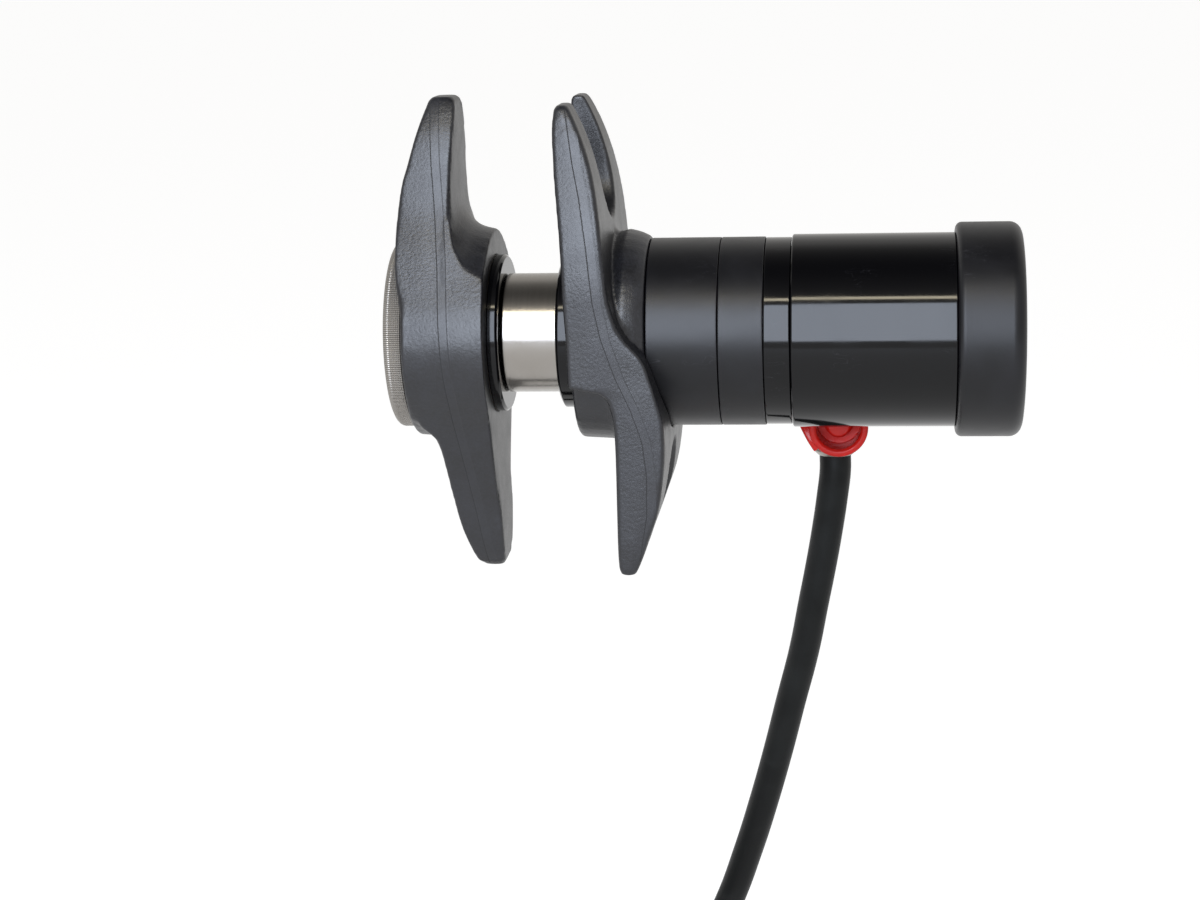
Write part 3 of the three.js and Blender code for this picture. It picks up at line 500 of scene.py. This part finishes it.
def red_plastic():
    finish = Finish("red_plastic", (0.42, 0.022, 0.018), 0.3)
    tree = finish.tree
    marks = finish.use(HANDLING, Amount=0.7)
    finish.set("Base Color", blend(tree, marks["Smudge"], (0.64, 0.014, 0.009, 1), (0.48, 0.014, 0.011, 1)))
    finish.set("Roughness", sums(tree, "MULTIPLY_ADD", marks["Smudge"], 0.2, 0.2))
    finish.set("Specular IOR Level", 0.25)
    finish.set("Subsurface Weight", 0.05)
    finish.bump(grainy(tree, finish.place, 700.0, 2.0), 0.08, 0.00008)
    return finish.material


MATERIALS = {
    "forged_black": forged_black(), "satin_black": satin_black(), "gloss_black": gloss_black(),
    "rod_chrome": rod_chrome(), "bright_steel": bright_steel(), "bronze": bronze(),
    "black_rubber": black_rubber(), "red_plastic": red_plastic(), "knurled_steel": knurled_steel(),
}


# Making and placing pieces
def shade(bm, angle=SHARP_ANGLE):
    for face in bm.faces:
        face.smooth = True
    for edge in bm.edges:
        edge.smooth = not (edge.is_manifold and edge.calc_face_angle(0) > angle)


def finish_piece(name, bm, body, slot, material=None, stands_for=()):
    """A piece from its mesh: it rides on a body, takes a slot's finish and stands for its nodes."""
    mesh = bpy.data.meshes.new(name)
    bm.to_mesh(mesh)
    bm.free()
    mesh.materials.append(MATERIALS[material or slot])
    piece = linked(name, mesh)
    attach(piece, body)
    if stands_for:
        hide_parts(*stands_for)
    return piece


def close_up(bm):
    bmesh.ops.remove_doubles(bm, verts=bm.verts, dist=WELD)
    bmesh.ops.recalc_face_normals(bm, faces=bm.faces)


def soften(bm, width):
    """Rounds every edge that turns sharply."""
    edges = [edge for edge in bm.edges if edge.is_manifold and edge.calc_face_angle(0) > CORNER_ANGLE]
    bmesh.ops.bevel(bm, geom=edges, offset=width * MM, offset_type="OFFSET", segments=EDGE_SEGMENTS,
                    affect="EDGES", profile=0.5, material=-1, clamp_overlap=True)


def held(profile, margin):
    """The profile with a point near both ends of each long run, so that rounding bends no long face."""
    points = [Vector(point) for point in profile]
    held_points = [points[0]]
    for start, end in zip(points, points[1:]):
        run = (end - start).length
        if run > 4 * margin:
            held_points += [start.lerp(end, margin / run), end.lerp(start, margin / run)]
        held_points.append(end)
    return held_points


def spun(profile, place, steps=WIDE_STEPS, round_edges=0.4):
    """A mesh turned round the X axis of place, from (along, radius) points in millimetres."""
    bm = bmesh.new()
    if round_edges:
        profile = held(profile, HOLD_FACTOR * round_edges)
    ring = [bm.verts.new((x * MM, 0, radius * MM)) for x, radius in profile]
    edges = [bm.edges.new(pair) for pair in zip(ring, ring[1:])]
    if min(profile[0][1], profile[-1][1]) > 0:
        edges.append(bm.edges.new((ring[-1], ring[0])))
    bmesh.ops.spin(bm, geom=ring + edges, cent=(0, 0, 0), axis=(1, 0, 0), angle=2 * math.pi, steps=steps,
                   use_merge=True)
    close_up(bm)
    if round_edges:
        soften(bm, round_edges)
    shade(bm)
    bmesh.ops.transform(bm, matrix=place, verts=bm.verts)
    return bm


def ends(node):
    """First and last station along X, and radius round the cylinder's axis, in millimetres."""
    low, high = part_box(node)
    return low[0] / MM, high[0] / MM, (high[2] - low[2]) / 2 / MM


def arc(x, radius, size, start, stop, steps=6):
    turns = [math.radians(start + (stop - start) * i / steps) for i in range(steps + 1)]
    return [(x + size * math.cos(turn), radius + size * math.sin(turn)) for turn in turns]


# Forgings, in millimetres where no unit is said
VOXEL = 0.6
EDGE_SMOOTHINGS = 2
FACE_SMOOTHINGS = 25
HOLLOW_SMOOTHINGS = 70
HOLLOW_REACH = 7
HOLLOW_TURN = math.radians(8)
HOLLOWS_BEYOND = 34
EDGE_TURN = math.radians(9)
UPRIGHT_SMOOTHINGS = 200
UPRIGHT_TURN = math.radians(14)
UPRIGHT_SLOPE = 0.75
LAST_SMOOTHINGS = 6
LEVEL_STEP = 1
LEVELS_AVERAGED = 9
CROWN_DEPTH = 1.6
CROWN_KEPT = 0.25
CROWN_END = 9
WIDTH_END = 22
UNEVEN = 0.07
LUMPS_PER_METRE = 70
MOST_TRIANGLES = 190000
PARTING_REACH = 10
SIDE_FACING = 0.6

# Left edge of the trimmed parting strip on the sides, as (height, x) in millimetres, downwards
JAW_PARTING = [(190, -78), (177, -77.2), (157, -76.2), (136, -74.4), (117, -72.9), (93, -71.8), (76, -71),
               (50, -69), (20, -65), (-16, -60)]
FORK_PARTING = [(182, -18.4), (159, -15.1), (144, -12.1), (126, -9.7), (104, -7.5), (90, -4.7), (73.5, 0.9),
                (61, 6.6), (48, 11), (34, 12.6), (17, 12.3), (-9, 8)]


def changed(name, mesh, kind, **settings):
    """The mesh that a modifier makes of another; the first one is let go."""
    holder = linked(name, mesh)
    modifier = holder.modifiers.new("change", kind)
    for setting, value in settings.items():
        setattr(modifier, setting, value)
    graph = bpy.context.evaluated_depsgraph_get()
    result = bpy.data.meshes.new_from_object(holder.evaluated_get(graph))
    bpy.data.objects.remove(holder)
    bpy.data.meshes.remove(mesh)
    return result


def relax(bm, verts, times):
    for _ in range(times):
        bmesh.ops.smooth_vert(bm, verts=verts, factor=0.5, use_axis_x=True, use_axis_y=True, use_axis_z=True)


def grown(verts, rings):
    """The vertices and those within some rings of them."""
    verts = set(verts)
    rim = verts
    for _ in range(rings):
        rim = {edge.other_vert(vert) for vert in rim for edge in vert.link_edges} - verts
        verts |= rim
    return verts


def from_axis(place):
    """Distance from the cylinder's axis, in millimetres."""
    return math.hypot(place.y, place.z - STUD_DROP * MM) / MM


def even_skin(name, node):
    """The node's solid in small even faces, and the vertices in its faces and in its hollows."""
    bm = bmesh.new()
    bm.from_mesh(NODES[node].data)
    bmesh.ops.remove_doubles(bm, verts=bm.verts, dist=WELD)
    mesh = bpy.data.meshes.new(name)
    bm.to_mesh(mesh)
    bm.free()
    mesh = changed(name, mesh, "REMESH", mode="VOXEL", voxel_size=VOXEL * MM)
    skin = bmesh.new()
    skin.from_mesh(mesh)
    relax(skin, skin.verts, EDGE_SMOOTHINGS)
    turns = [(edge, edge.is_convex, edge.calc_face_angle(0)) for edge in skin.edges]
    edged = {vert for edge, convex, turn in turns if convex and turn > EDGE_TURN for vert in edge.verts}
    edged = grown(edged, 1)
    hollow = {vert for edge, convex, turn in turns if not convex and turn > HOLLOW_TURN
              for vert in edge.verts if from_axis(vert.co) > HOLLOWS_BEYOND}
    hollow = grown(hollow, HOLLOW_REACH) - edged
    faces = [vert.index for vert in skin.verts if vert not in edged]
    hollows = [vert.index for vert in hollow]
    skin.to_mesh(mesh)
    skin.free()
    return mesh, faces, hollows


def smooth_faces(mesh, faces, hollows):
    """Smooths everything but the rounded outer edges, and fills the hollows a little."""
    skin = bmesh.new()
    skin.from_mesh(mesh)
    skin.verts.ensure_lookup_table()
    relax(skin, [skin.verts[index] for index in faces], FACE_SMOOTHINGS)
    relax(skin, [skin.verts[index] for index in hollows], HOLLOW_SMOOTHINGS)
    relax(skin, skin.verts, LAST_SMOOTHINGS)
    skin.to_mesh(mesh)
    skin.free()


def read_verts(mesh, name):
    values = np.empty(3 * len(mesh.vertices), dtype=np.float32)
    mesh.vertices.foreach_get(name, values)
    return values.reshape(-1, 3).astype(float)


def smooth_upright(mesh, places):
    """Evens each upright line of vertices, so that edges stay crisp and lose their corners."""
    normals = read_verts(mesh, "normal")
    pairs = np.empty(2 * len(mesh.edges), dtype=np.int32)
    mesh.edges.foreach_get("vertices", pairs)
    low, high = pairs.reshape(-1, 2).T
    turned = places[low, 2] > places[high, 2]
    low, high = np.where(turned, high, low), np.where(turned, low, high)
    along = places[high] - places[low]
    steep = along[:, 2] / np.maximum(np.linalg.norm(along, axis=1), 1e-9)
    alike = np.sum(normals[low] * normals[high], axis=1)
    kept = (steep > UPRIGHT_SLOPE) & (alike > math.cos(UPRIGHT_TURN))
    order = np.argsort(steep[kept])
    low, high = low[kept][order], high[kept][order]
    own = np.arange(len(places))
    above, below = own.copy(), own.copy()
    above[low] = high
    below[high] = low
    inner = (above != own) & (below != own)
    for _ in range(UPRIGHT_SMOOTHINGS):
        middle = (places[above] + places[below]) / 2
        places[inner, :2] += 0.5 * (middle - places)[inner, :2]


def side_widths(places):
    """Half width at each vertex's height as it is, and as it is with its unevenness averaged out."""
    step = LEVEL_STEP * MM
    level = np.round(places[:, 2] / step).astype(int)
    first = level.min()
    widths = np.zeros(level.max() - first + 1)
    np.maximum.at(widths, level - first, np.abs(places[:, 1]))
    count = len(widths)
    heights = (first + np.arange(count)) * step
    run = np.concatenate([[0], np.cumsum(widths)])
    here = np.arange(count)
    span = np.minimum(np.minimum(here, count - 1 - here), LEVELS_AVERAGED)
    even = (run[here + span + 1] - run[here - span]) / (2 * span + 1)
    return np.interp(places[:, 2], heights, widths), np.interp(places[:, 2], heights, even)


def straighten_sides(places):
    """Sides with an even taper and a flatter crown; returns each vertex's depth below the side."""
    width, even = side_widths(places)
    depth = (width - np.abs(places[:, 1])) / MM
    slope = (CROWN_END - CROWN_KEPT * CROWN_DEPTH) / (CROWN_END - CROWN_DEPTH)
    flat = np.where(depth < CROWN_DEPTH, depth * CROWN_KEPT,
                    CROWN_KEPT * CROWN_DEPTH + (depth - CROWN_DEPTH) * slope)
    share = np.clip((WIDTH_END - depth) / (WIDTH_END - CROWN_END), 0, 1)
    inner = np.abs(places[:, 1]) + (even - width) * share
    outer = even - flat * MM
    places[:, 1] = np.sign(places[:, 1]) * np.where(depth < CROWN_END, outer, inner)
    return depth


def parting_distance(places, normals, depth, parting):
    """How far right of the parting strip's left edge each vertex of the sides is, in metres."""
    heights, stations = np.array(parting[::-1]).T * MM
    away = places[:, 0] - np.interp(places[:, 2], heights, stations)
    reach = PARTING_REACH * MM
    on_side = (np.abs(normals[:, 1]) > SIDE_FACING) & (depth < CROWN_END)
    return np.clip(np.where(on_side, away, np.copysign(reach, away)), -reach, reach)


def forged(name, node, body, parting):
    """The node's solid as a forging: small rounded edges, even sides, parting line measured."""
    mesh, faces, hollows = even_skin(name + "_skin", node)
    places = read_verts(mesh, "co")
    smooth_upright(mesh, places)
    depth = straighten_sides(places)
    mesh.vertices.foreach_set("co", places.ravel())
    mesh.update()
    smooth_faces(mesh, faces, hollows)
    places = read_verts(mesh, "co")
    normals = read_verts(mesh, "normal")
    lumps = np.array([noise.noise(Vector(place) * LUMPS_PER_METRE) for place in places])
    places += normals * lumps[:, None] * UNEVEN * MM
    mesh.vertices.foreach_set("co", places.ravel())
    layer = mesh.attributes.new(PARTING_LAYER, "FLOAT", "POINT")
    layer.data.foreach_set("value", parting_distance(places, normals, depth, parting))
    mesh.update()
    triangles = 2 * len(mesh.polygons)
    if triangles > MOST_TRIANGLES:
        mesh = changed(name + "_skin", mesh, "DECIMATE", ratio=MOST_TRIANGLES / triangles)
    skin = bmesh.new()
    skin.from_mesh(mesh)
    bpy.data.meshes.remove(mesh)
    shade(skin, math.pi)
    return finish_piece(name, skin, body, "forged_black", stands_for=[node])


def make_forgings():
    forged("fork", "fork_jaw", "cylinder", FORK_PARTING)
    forged("jaw", "press_jaw", "press_jaw", JAW_PARTING)


# Cylinder
RING_BORE = 35.4


def plain_ring(node, name, slot):
    """Ring on the cylinder, as long and as wide as its node."""
    start, end, radius = ends(node)
    profile = [(start, RING_BORE), (start, radius), (end, radius), (end, RING_BORE)]
    finish_piece(name, spun(profile, ALONG_TOOL, round_edges=0.35), "cylinder", slot, stands_for=[node])


def make_end_cap():
    """Cup with a well rounded rear edge, a rounded lip and a shallow turned dish behind."""
    start, end, radius = ends("end_cap")
    edge, lip, dish, dish_radius = 5, 2.5, 0.5, 0.72 * radius
    floor, bore, mouth = start + 13, 36, 36.3
    profile = [
        (floor, 0), (floor, bore), (start, mouth), *arc(start + lip, radius - lip, lip, 180, 90),
        *arc(end - edge, radius - edge, edge, 90, 0), (end, dish_radius), (end - dish, dish_radius - dish),
        (end - dish, 3), (end - 2.5 * dish, 0),
    ]
    finish_piece("cap_cup", spun(profile, ALONG_TOOL, round_edges=0.25), "cylinder", "satin_black",
                 stands_for=["end_cap"])


def make_barrel():
    start, end, radius = ends("barrel")
    seat = ends("band_ring")[1] + GAP
    shoulder = ends("end_cap")[0] - GAP
    bore, neck, spigot, chamfer = 31, 35, 36, 0.5
    profile = [
        (start, bore), (start, neck), (seat, neck), (seat, radius - chamfer), (seat + chamfer, radius),
        (shoulder, radius), (shoulder, spigot), (end, spigot), (end, bore),
    ]
    finish_piece("barrel_tube", spun(profile, ALONG_TOOL, round_edges=0.25), "cylinder", "gloss_black",
                 stands_for=["barrel"])


def make_front_head():
    _, end, radius = ends("front_head")
    shoulder = ends("lock_ring")[0] - GAP
    nose_end = ends("rod_wiper")[1] + GAP
    ring_start = nose_end + 30.65
    bore, nose, spigot = 25.6, 30, 30.7
    profile = [
        (nose_end, bore), (nose_end, nose), (ring_start, nose), (ring_start, radius),
        (shoulder, radius), (shoulder, spigot), (end, spigot), (end, bore),
    ]
    finish_piece("head_ring", spun(profile, ALONG_TOOL, round_edges=0.35), "cylinder", "satin_black",
                 stands_for=["front_head"])


def make_rings():
    plain_ring("lock_ring", "lock_collar", "satin_black")
    plain_ring("band_ring", "band", "gloss_black")
    start, end, radius = ends("rod_wiper")
    profile = [(start, 25.4), (start, 29.4), (start + 1.2, radius), (end, radius), (end, 25.4)]
    finish_piece("wiper", spun(profile, ALONG_TOOL, round_edges=0.3), "cylinder", "gloss_black",
                 stands_for=["rod_wiper"])
    # The collar is a black ring whose gloss black also stands in for painted shade in the gap between the nut
    # and the rod's shoulder
    start, end, radius = ends("collar_ring")
    profile = [(start, 20.4), (start, radius), (end - 0.9, radius), (end, radius - 0.9), (end, 20.4)]
    finish_piece("collar", spun(profile, ALONG_TOOL, round_edges=0.2), "ram", "gloss_black",
                 stands_for=["collar_ring"])


def make_rod():
    """Chromed rod with its spigot; the spigot's end has a turned chamfer and a centre hole."""
    start, end, radius = ends("piston_rod")
    shoulder = ends("collar_ring")[1] + GAP
    piston_start = ends("piston")[0] - GAP
    spigot, tail, chamfer, step = 20, 18, 1.5, 0.6
    profile = [
        (start + 6, 0), (start + 2.6, 2), (start, 4.6), (start, spigot - chamfer), (start + chamfer, spigot),
        (shoulder, spigot), (shoulder, radius - step), (shoulder + step, radius), (piston_start, radius),
        (piston_start, tail), (end, tail), (end, 0),
    ]
    finish_piece("rod", spun(profile, ALONG_TOOL, round_edges=0.15), "ram", "rod_chrome",
                 stands_for=["piston_rod"])


# Grooves round the nut's knurled rim, in millimetres
KNURL_PITCH = 0.8
KNURL_DEPTH = 0.17


def make_nut():
    """Nut with a grooved rim, a rounded outer edge and a turned face."""
    start, end, radius = ends("knurled_nut")
    edge, chamfer, bore = 2.4, 0.5, 20.4
    rim_end = end - chamfer
    count = round((rim_end - start - edge) / KNURL_PITCH)
    pitch = (rim_end - start - edge) / count
    grooves = [(rim_end - (i + low) * pitch, radius - groove) for i in range(count)
               for low, groove in ((0, 0), (0.5, KNURL_DEPTH))]
    profile = [
        (end, bore), (end, radius - chamfer), *grooves,
        *reversed(arc(start + edge, radius - edge, edge, 180, 90, 5)), (start, radius - 9),
        (start + 0.8, radius - 9.8), (start + 0.8, 23), (start + 0.2, 22.4), (start + 0.2, bore),
    ]
    finish_piece("nut", spun(profile, ALONG_TOOL, round_edges=0), "nut", "bright_steel", "knurled_steel",
                 ["knurled_nut"])


# Port fittings behind the barrel
def hexed(start, end, across, place, round_edges=0.4):
    """Hexagonal bar with its corners turned down at both ends."""
    bm = bmesh.new()
    corner = across / math.sqrt(3) * MM
    bmesh.ops.create_cone(bm, cap_ends=True, segments=6, radius1=corner, radius2=corner,
                          depth=(end - start) * MM)
    bmesh.ops.rotate(bm, verts=bm.verts, cent=(0, 0, 0), matrix=Matrix.Rotation(math.pi / 2, 3, "Y"))
    bmesh.ops.translate(bm, verts=bm.verts, vec=((start + end) / 2 * MM, 0, 0))
    soften(bm, round_edges)
    shade(bm)
    bmesh.ops.transform(bm, matrix=place, verts=bm.verts)
    return bm


def joined(*parts):
    whole = parts[0]
    for part in parts[1:]:
        mesh = bpy.data.meshes.new("part")
        part.to_mesh(mesh)
        part.free()
        whole.from_mesh(mesh)
        bpy.data.meshes.remove(mesh)
    return whole


def make_port():
    """Nipple in the barrel, the forged elbow, and the coupler's nipple under it."""
    hex_start = PORT_REACH - ELBOW_RADIUS - 6.3
    root, thread = 33, 6.5
    shank = spun([(root, 0), (root, thread), (hex_start + 0.5, thread), (hex_start + 0.5, 0)], ALONG_PORT,
                 SMALL_STEPS)
    collar = spun([(hex_start - 0.5, 0), (hex_start - 0.5, 8.6), (hex_start + 0.1, 9), (hex_start + 0.1, 0)],
                  ALONG_PORT, SMALL_STEPS, 0.1)
    finish_piece("port_thread", joined(shank, collar, hexed(hex_start, hex_start + 6, 19, ALONG_PORT)),
                 "cylinder", "bright_steel", stands_for=["port_nipple"])
    arm = ELBOW_RADIUS - GAP
    ball = spun([(-ELBOW_RADIUS, 0), *arc(0, 0, ELBOW_RADIUS, 174, 6, 16), (ELBOW_RADIUS, 0)], ALONG_DROP,
                SMALL_STEPS, 0)
    inlet = spun([(PORT_REACH - ELBOW_RADIUS, 0), (PORT_REACH - ELBOW_RADIUS, arm), (PORT_REACH, arm),
                  (PORT_REACH, 0)], ALONG_PORT, SMALL_STEPS)
    outlet = spun([(0, 0), (0, arm), (12, arm), (12, 0)], ALONG_DROP, SMALL_STEPS)
    finish_piece("elbow", joined(ball, inlet, outlet), "cylinder", "bright_steel", stands_for=["port_elbow"])
    top, foot, stem = 12.3, 33.8, 6
    neck = spun([(top, 0), (top, stem), (foot, stem), (foot, 0)], ALONG_DROP, SMALL_STEPS)
    finish_piece("coupler_stub", joined(neck, hexed(top, 18.8, 22, ALONG_DROP)), "cylinder",
                 "bright_steel", stands_for=["coupler_nipple"])


def make_coupler():
    """Coupler body with two grooves, and its sleeve, waisted between two rims."""
    profile = [
        (34.1, 0), (34.1, 6.3), (19.1, 6.3), (19.1, 10.6), (20, 11.5), (22.4, 11.5), (22.9, 11), (23.6, 11),
        (24.1, 11.5), (48, 11.5), (48.6, 10.8), (49.6, 10.8), (50.2, 11.5), (51.3, 11.5), (52.1, 10.7),
        (52.1, 0),
    ]
    finish_piece("coupler_tube", spun(profile, ALONG_DROP, SMALL_STEPS, 0.15), "cylinder", "bright_steel",
                 stands_for=["coupler_body"])
    start, end, rim, grip = 26.6, 46.6, 14, 13.1
    bm = spun([(start, 11.8), (start, rim - 0.8), (start + 0.8, rim), (start + 2.6, rim),
               (start + 3.2, grip), (end - 3.2, grip), (end - 2.6, rim), (end - 0.8, rim), (end, rim - 0.8),
               (end, 11.8)], ALONG_DROP, SMALL_STEPS * 2, 0.2)
    finish_piece("sleeve", bm, "sleeve", "bright_steel", stands_for=["coupler_sleeve"])


def ferrule(start, place):
    """Crimped ferrule: two pressed bands between three raised ones."""
    length, radius, groove, lip = 13.5, 10.5, 0.8, 7.7
    step = length / 5
    profile = [(start, 0), (start, radius - groove), (start + groove, radius)]
    for i in (1, 3):
        profile += [(start + i * step, radius), (start + (i + 0.2) * step, radius - groove),
                    (start + (i + 0.8) * step, radius - groove), (start + (i + 1) * step, radius)]
    profile += [(start + length, lip), (start + length, 0)]
    return spun(profile, place, SMALL_STEPS, 0.2)


def make_ferrules():
    finish_piece("crimp", ferrule(52.4, ALONG_DROP), "cylinder", "bright_steel", stands_for=["hose_ferrule"])
    return finish_piece("far_crimp", ferrule(0.3, ALONG_TAIL), "cylinder", "bright_steel",
                        stands_for=["far_ferrule"])


def make_far_fittings():
    """Threaded stub at the hose's far end, with its hexagon, and its cap."""
    hex_start = 14.1
    shank_start = hex_start + 8
    length, turns, core, root, crest = 20, 14, 6, 6.1, 6.5
    thread = []
    for i in range(turns):
        x = shank_start + length * i / turns
        thread += [(x, root), (x + length / turns / 2, crest)]
    stub_end = shank_start + length
    stub = spun([(hex_start, 0), (hex_start, core), *thread, (stub_end, core), (stub_end, 0)], ALONG_TAIL,
                SMALL_STEPS, 0)
    far_nipple = finish_piece("far_stub", joined(stub, hexed(hex_start, shank_start, 19, ALONG_TAIL)),
                              "cylinder", "bright_steel", stands_for=["far_nipple"])
    mouth, tip, radius = shank_start + GAP, shank_start + 20.3, FAR_CAP_DIAMETER / 2
    profile = [
        (tip, 0), (tip, 6.8), (mouth, 6.8), (mouth, radius), (mouth + 3, radius), (mouth + 3.6, radius - 1),
        (tip + 1, radius - 1), (tip + 2, radius - 2), (tip + 2, 0),
    ]
    far_cap = finish_piece("far_cap", spun(profile, ALONG_TAIL, SMALL_STEPS, 0.3), "cylinder",
                           "red_plastic", stands_for=["far_dust_cap"])
    return [far_nipple, far_cap]


# Dust cap: cup, centre pin, its ring on the coupler and the strap between them
CAP_FORWARD = 33
CAP_DROP = 47.1
CAP_SIDE = 1.9
CAP_RADIUS = 12.8
CAP_LENGTH = 17
RING_DROP = 15.55
RING_INNER = 13
RING_WALL = 2.4


def strap_route():
    """From the ring's left side, bulging out, down to the cup's lower left rim."""
    shares = [(0, 0, 0), (0.08, 0.2, 0.75), (0.3, 0.55, 1), (0.62, 0.85, 0.85), (0.88, 1, 0.35), (1, 1, 0)]
    top = Vector((PORT_X - RING_INNER - RING_WALL - GAP, PORT_REACH, -RING_DROP))
    foot = Vector((PORT_X + CAP_SIDE - CAP_RADIUS * 0.66, CAP_FORWARD - CAP_LENGTH / 2 + 2,
                   -CAP_DROP - CAP_RADIUS * 0.72))
    bulge = 5.5
    return [Vector((top.x + (foot.x - top.x) * down - bulge * out, top.y + (foot.y - top.y) * forward,
                    top.z + (foot.z - top.z) * down + STUD_DROP)) * MM for down, forward, out in shares]


def strap_mesh():
    """Flat moulded strap: a rounded section bevelled along its route."""
    half, thick = 2.5 * MM, 0.8 * MM
    section = bpy.data.curves.new("strap_section", "CURVE")
    section.dimensions = "2D"
    outline = smooth_spline(section, [(-half, 0, 0), (0, thick, 0), (half, 0, 0), (0, -thick, 0)])
    outline.use_cyclic_u = True
    section_object = linked("strap_section", section)
    curve = bpy.data.curves.new("strap", "CURVE")
    curve.dimensions = "3D"
    curve.bevel_mode = "OBJECT"
    curve.bevel_object = section_object
    curve.use_fill_caps = True
    curve.twist_mode = "MINIMUM"
    smooth_spline(curve, strap_route())
    strap = linked("strap", curve)
    graph = bpy.context.evaluated_depsgraph_get()
    mesh = bpy.data.meshes.new_from_object(strap.evaluated_get(graph))
    bm = bmesh.new()
    bm.from_mesh(mesh)
    close_up(bm)
    shade(bm)
    for left_over in (strap, section_object):
        bpy.data.objects.remove(left_over)
    bpy.data.meshes.remove(mesh)
    return bm


def make_dust_cap():
    cup_place = (Matrix.Translation(((PORT_X + CAP_SIDE) * MM, (CAP_FORWARD - CAP_LENGTH / 2) * MM,
                                     (STUD_DROP - CAP_DROP) * MM)) @ Matrix.Rotation(math.pi / 2, 4, "Z"))
    wall, floor, lip = 1.8, CAP_LENGTH - 2.5, 1.4
    outer = CAP_RADIUS - lip
    profile = [
        (floor - 9, 0), (floor - 9, 4.5), (floor - 8, 5.5), (floor - 2, 5.5), (floor, 6.4),
        (floor, outer - wall), (1, outer - wall), (0, outer - wall + 0.9), (0, CAP_RADIUS - 0.9),
        *arc(0.9, CAP_RADIUS - 0.9, 0.9, 150, 90, 3), (3.2, CAP_RADIUS), (4, CAP_RADIUS - 0.8), (4, outer),
        (CAP_LENGTH - 1.2, outer), (CAP_LENGTH, outer - 1.2), (CAP_LENGTH, 0),
    ]
    cup = spun(profile, cup_place, SMALL_STEPS, 0.25)
    start, end = RING_DROP - 1.5, RING_DROP + 1.5
    ring = spun([(start, RING_INNER), (start, RING_INNER + RING_WALL), (end, RING_INNER + RING_WALL),
                 (end, RING_INNER)], ALONG_DROP, SMALL_STEPS, 0.7)
    finish_piece("cap_and_strap", joined(cup, ring, strap_mesh()), "cap", "red_plastic",
                 stands_for=["dust_cap"])


def dress_inner_nodes():
    """Nodes that stay as they are inside the cylinder take a full material."""
    kept = {"guide_bush": "bronze", "piston_guide_ring": "bronze", "rod_seal": "black_rubber",
            "piston_seal": "black_rubber", "piston": "bright_steel", "return_spring": "bright_steel",
            "thrust_washer": "bright_steel"}
    for node, name in kept.items():
        for holder in NODES[node].material_slots:
            holder.material = MATERIALS[name]


def make_cord():
    hose = make_hose()
    hose.data.materials.append(MATERIALS["black_rubber"])
    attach(hose, "cylinder")
    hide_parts("hose_drop", "hose_coil")
    far_pieces = [make_ferrules(), *make_far_fittings()]


# Floor and light
FLOOR_SIZE = 60


def make_floor():
    bm = bmesh.new()
    bmesh.ops.create_grid(bm, x_segments=1, y_segments=1, size=FLOOR_SIZE)
    bmesh.ops.translate(bm, verts=bm.verts, vec=(0, 0, (STUD_DROP - FLOOR_DROP) * MM))
    mesh = bpy.data.meshes.new("floor")
    bm.to_mesh(mesh)
    bm.free()
    floor = linked("floor", mesh)
    finish = Finish("floor_white", (0.35, 0.35, 0.35), 0.9)
    tree = finish.tree
    path = tree.nodes.new("ShaderNodeLightPath").outputs
    seen = sums(tree, "MAXIMUM", path["Is Camera Ray"], path["Is Glossy Ray"])
    seen = sums(tree, "MAXIMUM", seen, path["Is Transmission Ray"])
    finish.set("Emission Color", (1, 1, 1, 1))
    finish.set("Emission Strength", sums(tree, "MULTIPLY", seen, 0.79))
    finish.set("Specular IOR Level", 0.0)
    mesh.materials.append(finish.material)


def add_lamp(name, place, aim, width, height, power, colour):
    lamp = bpy.data.lights.new(name, "AREA")
    lamp.shape = "RECTANGLE"
    lamp.size = width
    lamp.size_y = height
    lamp.energy = power
    lamp.color = colour
    holder = linked(name, lamp)
    holder.location = place
    holder.visible_camera = False
    holder.rotation_euler = (Vector(aim) - Vector(place)).to_track_quat("-Z", "Y").to_euler()


def make_lights():
    """Two lamps, surroundings whose light changes with height, and plain output colours."""
    middle = (0.05, 0, STUD_DROP * MM)
    add_lamp("front_panel", (-0.2, -2.0, 0.89), (-0.2, 0, 0.89), 1.0, 1.82, 61, (0.77, 0.85, 1.0))
    add_lamp("warm_strip", (0.0, -1.26, 1.45), middle, 1.1, 0.1, 6, (1.0, 0.9, 0.68))
    world = bpy.data.worlds.new("world")
    world.use_nodes = True
    bpy.context.scene.world = world
    tree = world.node_tree
    up = parts_of(tree, tree.nodes.new("ShaderNodeTexCoord").outputs["Generated"])[2]
    ramp = tree.nodes.new("ShaderNodeValToRGB")
    stops = [(0.0, 0.74), (0.5, 0.72), (0.72, 0.64), (0.87, 0.3), (1.0, 0.1)]
    for _ in stops[2:]:
        ramp.color_ramp.elements.new(0.5)
    for stop, (position, level) in zip(ramp.color_ramp.elements, stops):
        stop.position = position
        stop.color = (level, level * 0.98, level * 0.95, 1)
    tree.links.new(up, ramp.inputs[0])
    tree.links.new(ramp.outputs[0], tree.nodes["Background"].inputs["Color"])
    bpy.context.scene.view_settings.view_transform = "Standard"


make_cord()
make_forgings()
make_end_cap()
make_barrel()
make_front_head()
make_rings()
make_rod()
make_nut()
make_port()
make_coupler()
make_dust_cap()
dress_inner_nodes()
make_floor()
make_lights()
